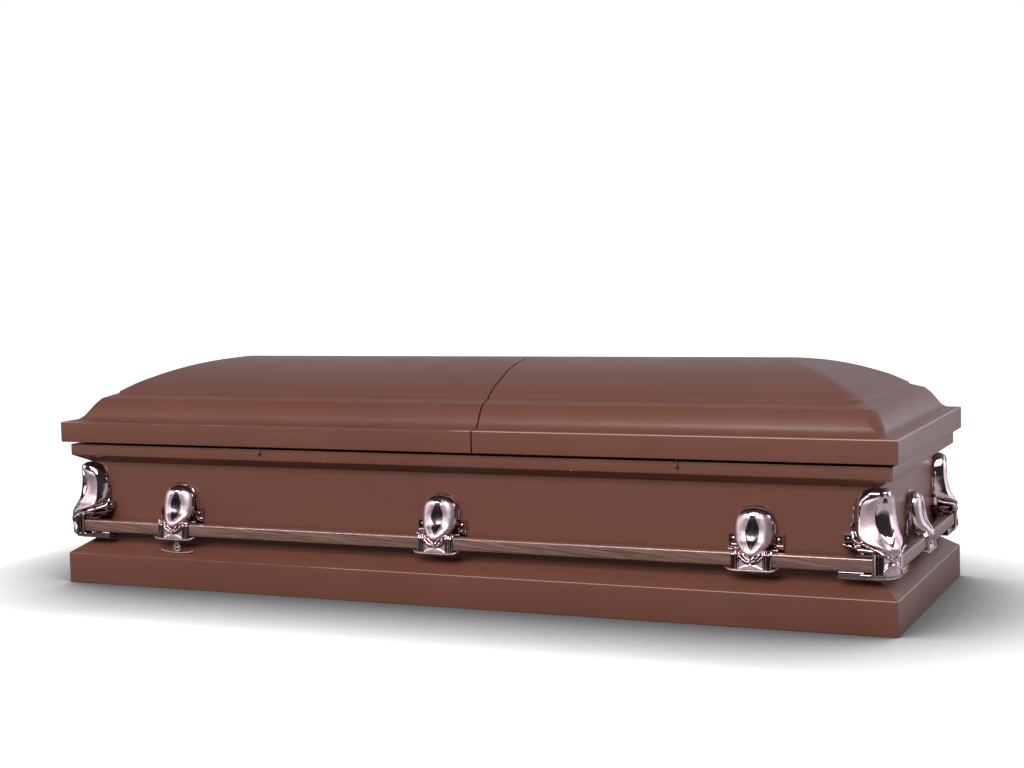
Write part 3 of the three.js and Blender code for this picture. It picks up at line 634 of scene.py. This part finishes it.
def arm_sleeve(shape):
    """The sleeve round the bar, with points about 1 mm apart on its face."""
    section = eased(SLEEVE_SECTION, [0, 2, 8, 5, 0], 8)
    dense = []
    for (o0, z0), (o1, z1) in zip(section, section[1:] + section[:1]):
        parts = max(1, round(math.hypot(o1 - o0, z1 - z0))) if min(o0, o1) > SLEEVE_FACE else 1
        dense += [(o0 + (o1 - o0) * k / parts, z0 + (z1 - z0) * k / parts) for k in range(parts)]
    rings = []
    for x in range(-SLEEVE_HALF, SLEEVE_HALF + 1):
        ring = []
        for out, z in dense:
            lift = sleeve_relief(x, z) * smooth(out, SLEEVE_FACE, SLEEVE_FACE + 4)
            ring.append((x, -(out + lift), z + 0.5 * lift * smooth(z, 163, 168)))
        rings.append(ring)
    shape.skin(rings, sleeve_look)


def arm_tray(shape):
    """A shallow tray under the sleeve with its ends turned up."""
    rings = []
    for z, half, front in TRAY_LEVELS:
        run = [half * (k / TRAY_STEPS - 1) for k in range(2 * TRAY_STEPS + 1)]
        plan = [(x, TRAY_BACK) for x in run]
        for x in reversed(run):
            plan.append((x, TRAY_BACK + (front - TRAY_BACK) * (1 - 0.3 * (abs(x) / half) ** 12)))
        ring = []
        for x, out in plan:
            turned_up = max(abs(x) - TRAY_BEND, 0) / TRAY_END
            ring.append((x, -out, z + TRAY_RISE * turned_up**2))
        rings.append(ring)
    shape.skin(rings, SATIN)


def turned(shape, profile, centre, sides=18):
    """A piece turned about a line along x; profile holds (x, radius)."""
    y, z = centre
    angles = [2 * math.pi * k / sides for k in range(sides)]
    shape.skin([[(x, y + r * math.cos(a), z + r * math.sin(a)) for a in angles] for x, r in profile])


def carved_block(shape, centre, half_x, half_z, out):
    """A square block on the wall: a raised frame round a four-sided hollow with a bead in it."""
    steps = ((GAP, 1.0), (out - 1.2, 1.0), (out, 0.93), (out, 0.74), (out - 4.5, 0.4))
    bead = ((out - 4.5, 0.36), (out - 2, 0.3), (out - 1, 0.16), (out - 0.8, 0.02))
    first, rings, count = len(shape.faces), [], 32
    for depth, share in steps + bead:
        ring = []
        for k in range(count):
            angle = 2 * math.pi * k / count
            square = max(abs(math.cos(angle)), abs(math.sin(angle))) if share > 0.38 else 1.0
            u, v = share / square * math.cos(angle), share / square * math.sin(angle)
            ring.append((centre[0] + u * half_x, -depth, centre[1] + v * half_z))
        rings.append(ring)
    shape.skin(rings)
    # The hollow takes the third, shaded material: painted shade.
    hollow_start, hollow_end = first + 3 * count, first + 5 * count
    shape.looks[hollow_start:hollow_end] = [SHADED] * (2 * count)


def arm_mesh():
    """Shield, sleeve, tray, the two pins at the sides and the tab below."""
    shape = Shape()
    arm_shield(shape)
    arm_sleeve(shape)
    arm_tray(shape)
    pin = [(along - PIN_OUT, radius) for along, radius in PIN_END]
    turned(shape, pin + [(-x, radius) for x, radius in reversed(pin)], PIN_CENTRE)
    tab = []
    angles = [math.pi * k / 16 for k in range(17)]
    for out, inset in TAB_LEVELS:
        half, drop = TAB_HALF - inset, TAB_DROP - inset
        tab.append([(-half * math.cos(a), -out, TAB_TOP - drop * math.sin(a)) for a in angles])
    shape.skin(tab)
    return shape.mesh("arm", [PLATED, FROSTED, OVAL, BAR_END], sharp=38)


LUG_HALF, LUG_CENTRE, LUG_LOW = 43.0, 218.5, 178.0
EAR_PLACE, EAR_HALF_X, EAR_HALF_Z, EAR_OUT = (50.7, 187.0), 12.3, 11.5, 8.0
EAR_SHELF_X, EAR_SHELF_OUT, EAR_SHELF_LOW, EAR_SHELF_TOP = (38.5, 62.0), 7.0, 163.0, 175.0


def lug_mesh():
    """An arched plate on the wall with a square ear and a shelf at each side."""
    shape = Shape()
    rings = []
    angles = [math.pi * k / 40 for k in range(41)]
    for out, inset in ((GAP, 0), (1.6, 0), (2.4, 1.0)):
        half = LUG_HALF - inset
        plan = [(half * math.cos(a), LUG_CENTRE + half * math.sin(a)) for a in angles]
        plan += [(-half, LUG_LOW + inset), (half, LUG_LOW + inset)]
        rings.append([(x, -out, z) for x, z in plan])
    shape.skin(rings)
    for sign in (-1, 1):
        carved_block(shape, (sign * EAR_PLACE[0], EAR_PLACE[1]), EAR_HALF_X, EAR_HALF_Z, EAR_OUT)
        low, high = sorted(sign * x for x in EAR_SHELF_X)
        round_box(shape, (low, -EAR_SHELF_OUT, EAR_SHELF_LOW), (high, -GAP, EAR_SHELF_TOP), 1.2)
    return shape.mesh("lug", [PLATED, FROSTED, HOLLOW], sharp=30)


arm_data, lug_data = arm_mesh(), lug_mesh()
for side, turns, wall in SIDES:
    places = ARM_STATIONS if turns == 0 else [-x for x in reversed(ARM_STATIONS)]
    stations = [(f"{side}_{i + 1}", x) for i, x in enumerate(places)] if turns % 2 == 0 else [(side, 0)]
    for label, x in stations:
        for kind, data in (("arm", arm_data), ("lug", lug_data)):
            name = f"{kind}_{label}"
            show(name, placed(data, name, on_side(turns, wall, x)), "casket_body", [name])


# Corner fittings: a shield wrapped round the corner, an elbow below it and shelves along the bars

# Height, reach of a wing along its wall, and how far its tip and its middle stand off the wall.
WRAP_LEVELS = (
    (162, -40, 50.8, 51.6), (168, -31, 49.2, 52), (175, -19.5, 45.5, 52.2), (183, -3.5, 38, 51),
    (191, 22, 24, 47.5), (199, 45, 9, 43), (208, 53, 5, 38), (225, 55, 4, 32), (245, 55, 4, 28.5),
    (262, 54, 4, 27), (280, 50, 4, 26.5), (297, 39, 4, 24), (303, 29, 4, 19), (307, 13, 4, 11),
)
WRAP_ROWS, WRAP_BORDER, WRAP_PANEL, WRAP_OVAL = 104, 16, 24, 16
WRAP_OVAL_LOW, WRAP_OVAL_HIGH, WRAP_OVAL_HALF = 187.0, 297.0, 26.0
PANEL_SHOULDER, PANEL_ROUND = 262.0, 28.0

TRIM_PATH = (
    (-49, -7, 266), (-54, -6, 250), (-56, -6, 232), (-56, -8, 214), (-53, -13, 201), (-42, -22, 193),
    (-24, -31, 188.5), (-6, -40.5, 183.5), (9, -44.5, 177.5), (22, -46.5, 170), (31.5, -42, 163.5),
    (37, -37, 158.5),
)
TRIM_SIDES, TRIM_LEAVES = 12, 11


def wrap_shield(shape):
    """Points run from the tip of one wing to the diagonal; the other wing is the reflection."""
    rings, looks = [], []
    for step in range(WRAP_ROWS + 1):
        z, reach, tip, stand = spline(WRAP_LEVELS, step / WRAP_ROWS)
        bend = stand * math.pi / 4
        length = max(reach + bend, 1.0)
        wide = min(lens_half(z, WRAP_OVAL_LOW, WRAP_OVAL_HIGH, WRAP_OVAL_HALF), 0.55 * length)
        border = min(2.5 + 17.5 * smooth(z, 186, 212), 0.4 * length)
        rise = min(max((z - PANEL_SHOULDER) / PANEL_ROUND, 0), 1)
        border += (length - wide - border) * (1 - (1 - rise**3) ** 0.34)
        panel = length - wide - border
        bevel = min(24.0, 0.5 * length)
        edges = [border * k / WRAP_BORDER for k in range(WRAP_BORDER)]
        edges += [border + panel * k / WRAP_PANEL for k in range(WRAP_PANEL)]
        edges += [length - wide * (1 - k / WRAP_OVAL) for k in range(WRAP_OVAL + 1)]
        half, row = [], []
        for column, edge in enumerate(edges):
            away = max(length - edge, 0.0)
            angle = math.pi / 4 * max(1 - away / bend, 0)
            along = -max(away - bend, 0.0)
            out = tip + (stand - tip) * math.sin(math.pi / 2 * min(edge / bevel, 1.0))
            if away < wide:
                out -= min(2.2, 0.3 * wide) * (1 - (away / wide) ** 4)
            elif column >= WRAP_BORDER:
                share = min((edge - border) / max(panel, 0.1), 1)
                swell = 2.4 * math.sin(math.pi * share) - 1.2 * smooth(share, 0, 0.04)
                out += swell * smooth(panel, 4, 18)
            out = min(out, WALL_INSET / math.cos(angle))
            half.append((along + out * math.sin(angle), -out * math.cos(angle)))
            row.append(FROSTY if WRAP_BORDER <= column < WRAP_BORDER + WRAP_PANEL else POLISHED)
        other = [(-y, -x) for x, y in half[-2::-1]]
        back = max(GAP, -0.35 * reach)
        end = max(reach, -back)
        plan = half + other + [(back, end), (back, -back), (-end, -back)]
        rings.append([(x, y, z) for x, y in plan])
        looks.append(row[:-1] + row[-2::-1] + [POLISHED] * 4)
    skin_looks(shape, rings, looks)


def trim_band(shape, path, half_width, half_thick, leaves):
    """A carved band along a path in space, swelling and shrinking like a row of leaves."""
    steps = 10 * (len(path) - 1)
    middle = [Vector(spline(path, k / steps)) for k in range(steps + 1)]
    rings = []
    for k, here in enumerate(middle):
        ahead = (middle[min(k + 1, steps)] - middle[max(k - 1, 0)]).normalized()
        outward = Vector((max(here.x, 0.0), min(here.y, -1.0), 0)).normalized()
        across = ahead.cross(outward).normalized()
        swell = 0.8 + 0.25 * abs(math.sin(leaves * math.pi * k / steps))
        side, rise = across * half_width * swell, outward * half_thick * swell
        ring = []
        for j in range(TRIM_SIDES):
            turn = 2 * math.pi * j / TRIM_SIDES
            ring.append(tuple(here + side * math.cos(turn) + rise * math.sin(turn)))
        rings.append(ring)
    shape.skin(rings)


ELBOW_TURN, ELBOW_RADIUS, ELBOW_BOTTOM, ELBOW_TOP = 8.0, 40.0, 122.0, 174.0
ELBOW_ARC, ELBOW_RUN, ELBOW_ROUND = ELBOW_RADIUS * math.pi / 4, 40.9, 10.0
ELBOW_COLUMNS, ELBOW_ROWS = 114, 50
ELBOW_LINING = ((10, ELBOW_TOP), (10, 140), (14, 130), (19, 123))
DOME_FOOT, DOME_HEIGHT, DOME_HALF = 121.0, 34.0, 28.0
GROOVE_DEPTH = 7.0


def elbow_point(run):
    """Place in plan and outward direction at a run along the elbow, 0 on the diagonal."""
    beyond = abs(run) - ELBOW_ARC
    if beyond > 0:
        if run < 0:
            return (ELBOW_TURN - beyond, -WALL_INSET), (0, -1)
        return (WALL_INSET, beyond - ELBOW_TURN), (1, 0)
    angle = run / ELBOW_RADIUS - math.pi / 4
    outward = (math.cos(angle), math.sin(angle))
    return (ELBOW_TURN + ELBOW_RADIUS * outward[0], ELBOW_RADIUS * outward[1] - ELBOW_TURN), outward


def elbow_groove(side, z):
    """Share of the depth of the two grooves beside each bar's end."""
    within = smooth(side, 20.5, 22.5) * smooth(side, 38.1, 36.1)
    within *= smooth(z, 127, 131) * smooth(z, 173, 168)
    return within * (1 - ridge(side, 31.2, 1.7))


def elbow_dome(side, z):
    """1 on the outline of the dome at the foot, less inside it."""
    return math.hypot((z - DOME_FOOT) / DOME_HEIGHT, side / DOME_HALF)


def elbow_relief(side, z):
    """Outward lift: the grooves, the dome with its two beads, and the rounding at the bottom."""
    dome = elbow_dome(side, z)
    lift = -GROOVE_DEPTH * elbow_groove(side, z) * smooth(dome, 1.0, 1.1)
    lift += 2.2 * ridge(dome, 1.0, 0.05) + 1.8 * ridge(dome, 0.87, 0.045) + 1.2 * smooth(dome, 0.85, 0.6)
    below = max(ELBOW_BOTTOM + ELBOW_ROUND - z, 0)
    return lift + math.sqrt(max(ELBOW_ROUND**2 - below**2, 0)) - ELBOW_ROUND


def elbow(shape):
    """The wall that turns the corner under the chin, rounded in at the bottom."""
    rings, looks = [], []
    for k in range(ELBOW_COLUMNS + 1):
        run = ELBOW_RUN * (2 * k / ELBOW_COLUMNS - 1)
        (x, y), (dx, dy) = elbow_point(run)
        ring, row = [], []
        for j in range(ELBOW_ROWS + 1):
            z = ELBOW_BOTTOM + (ELBOW_TOP - ELBOW_BOTTOM) * j / ELBOW_ROWS
            lift = elbow_relief(abs(run), z)
            ring.append((x + dx * lift, y + dy * lift, z))
            look = POLISHED
            if elbow_dome(abs(run), z) < 0.83:
                look = FROSTY
            # Faces deep in the grooves take the shaded material: painted shade.
            elif elbow_groove(abs(run), z) > 0.6:
                look = SHADED
            row.append(look)
        lining = [(x - dx * inset, y - dy * inset, z) for inset, z in ELBOW_LINING]
        rings.append(ring + lining)
        looks.append(row + [POLISHED] * len(lining))
    skin_looks(shape, rings, looks)


LEVEL_WING, LEVEL_BEND, LEVEL_INNER, LEVEL_CENTRE, LEVEL_STRAIGHT = 43.0, 32.0, 14.0, 16.0, 2.0


def elbow_plate(shape, reach, low, high, turn):
    """A level plate along both bars, turning the corner at a distance inside the elbow's face."""
    rings = []
    for z, inset in ((low, 1.2), (low + 1, 0), (high - 1, 0), (high, 1.2)):
        wing, bend = LEVEL_WING - inset, LEVEL_BEND - turn - inset
        inner, end = LEVEL_INNER + inset, reach - inset
        plan = [(-end, -wing), (LEVEL_STRAIGHT, -wing)]
        for k in range(17):
            angle = math.pi / 2 * (k / 16 - 1)
            plan.append((LEVEL_CENTRE + bend * math.cos(angle), bend * math.sin(angle) - LEVEL_CENTRE))
        plan += [(wing, -LEVEL_STRAIGHT), (wing, end), (inner, end), (inner, -inner), (-end, -inner)]
        rings.append([(x, y, z) for x, y in plan])
    shape.skin(rings)


def wire(shape, path, across, thick, y, sides=12):
    """A bead of oval section along a path of (x, z) in a plane facing -Y."""
    rings = []
    for i, (x, z) in enumerate(path):
        before, after = path[max(i - 1, 0)], path[min(i + 1, len(path) - 1)]
        along = Vector((after[0] - before[0], after[1] - before[1])).normalized()
        ring = []
        for k in range(sides):
            turn = 2 * math.pi * k / sides
            u, v = (math.copysign(abs(c) ** 0.6, c) for c in (math.cos(turn), math.sin(turn)))
            ring.append((x - along.y * across * u, y - thick * v, z + along.x * across * u))
        rings.append(ring)
    shape.skin(rings)


SHELF_START, SHELF_BEVEL, SHELF_RUN, SHELF_UNDERCUT = -80.0, -60.0, 53.0, 15.0
SHELF_TOP, SHELF_FALL, SHELF_FOOT, SHELF_DEEPER = 189.0, 9.0, 182.0, 12.0
SHELF_OUT, SHELF_FURTHER = 28.0, 14.0
CLASP_PATH, CLASP_OUT = [(-36, 180), (-1.7, 178), (-1.7, 126), (-30, 126)], 46.6

# Low corner, high corner and rounding of the bracket under the wing, the stop behind the bar's end
# and the edge of the tray.
CORNER_BLOCKS = (
    ((-52, -13, 183), (-4, -GAP, 193), 1.5),
    ((-32, -21.7, BAR_LOW), (-6, -GAP, 172), 1),
    ((-79, -43, 121), (-24, -40, 132.5), 1),
)


def wedge_shelf(shape):
    """A beak over the bar: its tip stands off the wall, and its front is undercut."""
    rings = []
    for x, inset in ((SHELF_START, 1.5), (-79, 0.4), (-77, 0), (-62, 0), (-44, 0), (-27, 0), (0, 0)):
        share = min((x - SHELF_START) / SHELF_RUN, 1.0)
        top, front = SHELF_TOP - SHELF_FALL * share, SHELF_OUT + SHELF_FURTHER * share
        foot = SHELF_FOOT - SHELF_DEEPER * smooth(x, SHELF_START, SHELF_BEVEL)
        low, high, tip = foot + inset, top - inset, inset - front
        section = [(tip + SHELF_UNDERCUT, low), (-GAP, low), (-GAP, high), (tip, high)]
        ring = []
        for y, z in eased(section, [1.5, 0, 0, 2.0], 4):
            slanted = SHELF_BEVEL + (SHELF_BEVEL - SHELF_START) * y / SHELF_OUT
            ring.append((max(x, slanted), y, z))
        rings.append(ring)
    shape.skin(rings)


def corner_side(shape):
    """What stands along one wall: shelf, knob, bracket, stop, tray edge, trim and clasp."""
    wedge_shelf(shape)
    carved_block(shape, (-64, 199.5), 10, 8.5, 15)
    for low, high, ease in CORNER_BLOCKS:
        round_box(shape, low, high, ease)
    trim_band(shape, TRIM_PATH, 3.4, 2.4, TRIM_LEAVES)
    clasp = eased(CLASP_PATH, [0, 9, 9, 0], 8, closed=False)
    wire(shape, clasp, 3.4, 2.2, -CLASP_OUT)


def corner_mesh():
    """The fitting in the frame of its corner; what stands along one wall is mirrored to the other."""
    shape = Shape()
    wrap_shield(shape)
    elbow(shape)
    elbow_plate(shape, 80, 118, 123, 10)
    elbow_plate(shape, 40, 166, 171, 6)
    # A dark core inside the elbow, seen through the gaps beside the bars: painted shade.
    round_box(shape, (2, -28, ELBOW_BOTTOM), (28, -2, 168), 2, SHADED)
    side = Shape()
    corner_side(side)
    for points, flip in ((side.points, 1), ([(-y, -x, z) for x, y, z in side.points], -1)):
        start = len(shape.points)
        shape.points += points
        for face, look in zip(side.faces, side.looks):
            shape.face(tuple(c + start for c in face[::flip]), look)
    return shape.mesh("corner", [PLATED, FROSTED, INSIDE_SHADE], sharp=38)


corner_data = corner_mesh()
CORNERS = (("front_foot", 1, -1), ("back_foot", 1, 1), ("back_head", -1, 1), ("front_head", -1, -1))
for quarter, (label, x, y) in enumerate(CORNERS):
    there = Matrix.Translation((x * WALL_LENGTH * MM, y * WALL_WIDTH * MM, 0))
    name = f"corner_{label}"
    data = placed(corner_data, name, there @ Matrix.Rotation(quarter * math.pi / 2, 4, "Z"))
    show(name, data, "casket_body", [name])


# Hinges, catch knobs, the strap, and the floor panel that is carried over from the CAD

HINGE_STATIONS = (("head", (-900, -90)), ("foot", (280, 900)))
HINGE_Y, HINGE_Z = 350.0, 355.0
LEAF_HALF, KNUCKLE_HALF, KNUCKLE_RADIUS, KNUCKLE_EASE = 30.0, 10.0, 5.0, 0.6
LEAF_NEAR, LEAF_FAR, LEAF_LOW, LEAF_TOP = 344.3, 346.3, 329.0, 350.0
LID_LEAF_NEAR, LID_LEAF_LOW, LID_LEAF_TOP = 324.0, 360.3, 362.3
SCREWS, SCREW_HEIGHT = (-20, 0, 20), 336.5
SCREW_PROFILE = ((346, 3.4), (346.9, 3.1), (347.5, 1.8))
KNOB_STATIONS = (("head", -485), ("foot", 583))
KNOB_Y, KNOB_Z, KNOB_RADIUS = -348.8, 346.0, 4.5
KNOB_STEM = [(351.2, 1.6), (352, 1.2), (361, 1.2), (362.3, 1.9)]


def circle(radius, sides):
    """Points (u, v) round the origin."""
    angles = [2 * math.pi * k / sides for k in range(sides)]
    return [(radius * math.cos(a), radius * math.sin(a)) for a in angles]


def knuckle(shape, low, high):
    """A length of the hinge's barrel with eased ends."""
    ends = KNUCKLE_RADIUS - KNUCKLE_EASE
    profile = [(low, ends), (low + KNUCKLE_EASE, KNUCKLE_RADIUS)]
    profile += [(high - KNUCKLE_EASE, KNUCKLE_RADIUS), (high, ends)]
    turned(shape, profile, (HINGE_Y, HINGE_Z), sides=28)


def hinge_leaves(x):
    """The leaf on the body, with three screws, and the leaf on the lid."""
    fixed, moving = Shape(), Shape()
    left, right, inner = x - LEAF_HALF, x + LEAF_HALF, KNUCKLE_HALF + GAP
    round_box(fixed, (left, LEAF_NEAR, LEAF_LOW), (right, LEAF_FAR, LEAF_TOP), 0.8)
    for low, high in ((left, x - inner), (x + inner, right)):
        round_box(fixed, (low, LEAF_NEAR, 345), (high, LEAF_FAR, HINGE_Z), 0.5)
        knuckle(fixed, low, high)
    for screw in SCREWS:
        dome = []
        for y, radius in SCREW_PROFILE:
            dome.append([(x + screw + u, y, SCREW_HEIGHT + v) for u, v in circle(radius, 16)])
        fixed.skin(dome)
    round_box(moving, (left, LID_LEAF_NEAR, LID_LEAF_LOW), (right, HINGE_Y, LID_LEAF_TOP), 0.8)
    round_box(moving, (x - KNUCKLE_HALF, 348, HINGE_Z), (x + KNUCKLE_HALF, HINGE_Y, 362), 0.5)
    knuckle(moving, x - KNUCKLE_HALF, x + KNUCKLE_HALF)
    return fixed, moving


for lid, stations in HINGE_STATIONS:
    for i, x in enumerate(stations):
        fixed, moving = hinge_leaves(x)
        for shape, part, body in ((fixed, "body", "casket_body"), (moving, "lid", f"lid_{lid}")):
            name = f"hinge_{part}_leaf_{lid}_{i + 1}"
            show(name, shape.mesh(name, [STEEL]), body, [name])

swing = [math.pi * k / 16 for k in range(1, 15)]
knob_profile = [(KNOB_Z - KNOB_RADIUS * math.cos(a), KNOB_RADIUS * math.sin(a)) for a in swing]
for lid, x in KNOB_STATIONS:
    rings = []
    for z, radius in knob_profile + KNOB_STEM:
        rings.append([(x + u, KNOB_Y + v, z) for u, v in circle(radius, 20)])
    shape = Shape()
    shape.skin(rings)
    name = f"catch_knob_{lid}"
    show(name, shape.mesh(name, [CATCH]), "casket_body", [name])

STRAP_LEFT, STRAP_RIGHT, STRAP_NEAR, STRAP_FAR = -749.5, -730.5, -341.8, -340.3
STRAP_LOW, STRAP_TOP, STRAP_RAIL = 92.0, 117.0, 4.5
LOOP_HALF, LOOP_LEVEL, LOOP_DROP, LOOP_WIRE = 47.0, 101.0, 11.5, 1.2
strap = Shape()
for low, high in ((STRAP_LOW, 96), (100.5, 104), (108.5, STRAP_TOP)):
    round_box(strap, (STRAP_LEFT, STRAP_NEAR, low), (STRAP_RIGHT, STRAP_FAR, high), 0.4)
for x in (STRAP_LEFT, STRAP_RIGHT - STRAP_RAIL):
    round_box(strap, (x, STRAP_NEAR, STRAP_LOW), (x + STRAP_RAIL, STRAP_FAR, STRAP_TOP), 0.4)
loop = []
for k in range(1, 24):
    angle = math.pi * (k / 24 - 0.5)
    drop = LOOP_DROP * math.cos(angle) ** 0.5
    loop.append((ARM_STATIONS[0] + LOOP_HALF * math.sin(angle), LOOP_LEVEL - drop))
wire(strap, loop, LOOP_WIRE, LOOP_WIRE, -341.0)
show("strap_front_1", strap.mesh("strap_front_1", [STRAP]), "casket_body", ["strap_front_1"])
floor_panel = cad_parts["floor_panel"]
floor_panel.data.materials.clear()
floor_panel.data.materials.append(PAINT)


# Stage: floor, light and camera

FLOOR_HALF, SHADOW_REACH, SHADOW_POWER, FLOOR_WHITE = 30.0, 0.5, 3.4, 1.25
CAMERA_PLACE, CAMERA_ANGLES = (1.8396, -3.9725, 0.8496), (24.403, 4.708, -1.552)
SENSOR_WIDTH, FOCAL_LENGTH = 36.0, 62.09
SKY_COLOUR, SKY_LEAST = (0.93, 0.98, 1.1, 1), 0.05

floor_mesh = bpy.data.meshes.new("studio_floor")
floor_corners = [(x * FLOOR_HALF, y * FLOOR_HALF, 0) for x, y in ((-1, -1), (1, -1), (1, 1), (-1, 1))]
floor_mesh.from_pydata(floor_corners, [], [(0, 1, 2, 3)])
floor = bpy.data.objects.new("studio_floor", floor_mesh)
bpy.context.scene.collection.objects.link(floor)
# In reflections the floor is dark before the front and pale beyond the foot end; seen straight it glows
# white, with a soft shadow painted in from ambient occlusion.
floor_look = Look("studio_floor", Roughness=1.0)
place = floor_look.node("ShaderNodeSeparateXYZ", {0: floor_look.place()}).outputs["X"]
floor_look.drive("Base Color", floor_look.remap(place, 1.0, 1.3, 0.1, 0.7))
occlusion = floor_look.node("ShaderNodeAmbientOcclusion", {"Distance": SHADOW_REACH}, samples=16)
open_sky = floor_look.math("POWER", occlusion.outputs["AO"], SHADOW_POWER)
shade = floor_look.math("MULTIPLY", open_sky, FLOOR_WHITE)
white_floor = floor_look.node("ShaderNodeEmission", {"Strength": shade})
seen = floor_look.node("ShaderNodeLightPath").outputs["Is Camera Ray"]
layers = {0: seen, 1: floor_look.shader.outputs[0], 2: white_floor.outputs[0]}
both = floor_look.node("ShaderNodeMixShader", layers)
floor_look.tree.links.new(both.outputs[0], floor_look.tree.nodes["Material Output"].inputs["Surface"])
floor_mesh.materials.append(floor_look.material)


def area_light(name, place, target, width, height, watts, colour=(1, 1, 1)):
    """A rectangular lamp in metres, turned to its target and not seen by the camera."""
    lamp = bpy.data.lights.new(name, "AREA")
    lamp.shape = "RECTANGLE"
    lamp.size, lamp.size_y, lamp.energy, lamp.color = width, height, watts, colour
    made = bpy.data.objects.new(name, lamp)
    made.location = place
    made.visible_camera = False
    made.rotation_euler = (Vector(target) - Vector(place)).to_track_quat("-Z", "Y").to_euler()
    bpy.context.scene.collection.objects.link(made)


area_light("key", (0.3, -4.05, 2.85), (0, 0, 0.25), width=3.0, height=1.8, watts=189)
area_light("left", (-4.4, -1.8, 1.3), (-0.5, 0, 0.3), width=2.4, height=2.0, watts=42)
area_light("front_left", (-3.2, -4.6, 2.4), (0, 0, 0.3), width=2.0, height=1.0, watts=58)
cool, cooler = (0.92, 0.93, 1.0), (0.9, 0.92, 1.0)
area_light("right", (3.95, -0.3, 2.65), (1.0, 0, 0.3), width=2.4, height=1.2, watts=62, colour=cool)
area_light("right_back", (3.4, 2.6, 0.9), (1.0, 0, 0.3), width=3.0, height=1.8, watts=34, colour=cooler)

# The camera sees white; reflections see a dim sky, brighter behind the part.
world = bpy.data.worlds.new("studio")
bpy.context.scene.world = world
world.use_nodes = True
world.node_tree.nodes.clear()


def world_node(kind, inputs=None, **settings):
    return add_node(world.node_tree, kind, inputs, settings)


def ramp(value, low, high, top):
    inputs = {"Value": value, "From Min": low, "From Max": high, "To Min": 0.0, "To Max": top}
    return world_node("ShaderNodeMapRange", inputs, interpolation_type="SMOOTHSTEP").outputs[0]


def total(first, second):
    return world_node("ShaderNodeMath", {0: first, 1: second}, operation="ADD").outputs[0]


way = world_node("ShaderNodeSeparateXYZ", {0: world_node("ShaderNodeTexCoord").outputs["Generated"]})
glow = total(ramp(way.outputs["Z"], 0.25, 0.9, 0.03), ramp(way.outputs["Y"], 0.1, 0.8, 0.43))
glow = total(glow, SKY_LEAST)
sky = world_node("ShaderNodeBackground", {"Color": SKY_COLOUR, "Strength": glow})
white = world_node("ShaderNodeBackground", {"Color": (1, 1, 1, 1), "Strength": 1.0})
seen = world_node("ShaderNodeLightPath").outputs["Is Camera Ray"]
mixed = world_node("ShaderNodeMixShader", {0: seen, 1: sky.outputs[0], 2: white.outputs[0]})
world_node("ShaderNodeOutputWorld", {0: mixed.outputs[0]})

# The camera stands as the photograph's was found to stand.
yaw, pitch, roll = (math.radians(angle) for angle in CAMERA_ANGLES)
ahead = Vector((-math.sin(yaw) * math.cos(pitch), math.cos(yaw) * math.cos(pitch), -math.sin(pitch)))
level = Vector((math.cos(yaw), math.sin(yaw), 0))
upright = level.cross(ahead)
across = math.cos(roll) * level + math.sin(roll) * upright
upward = math.cos(roll) * upright - math.sin(roll) * level
lens = bpy.data.cameras.new("photo_camera")
lens.sensor_width, lens.lens = SENSOR_WIDTH, FOCAL_LENGTH
camera = bpy.data.objects.new("photo_camera", lens)
facing = Matrix((across, upward, -ahead)).transposed().to_4x4()
camera.matrix_world = Matrix.Translation(CAMERA_PLACE) @ facing
bpy.context.scene.collection.objects.link(camera)
bpy.context.scene.camera = camera
bpy.context.scene.view_settings.view_transform = "Standard"
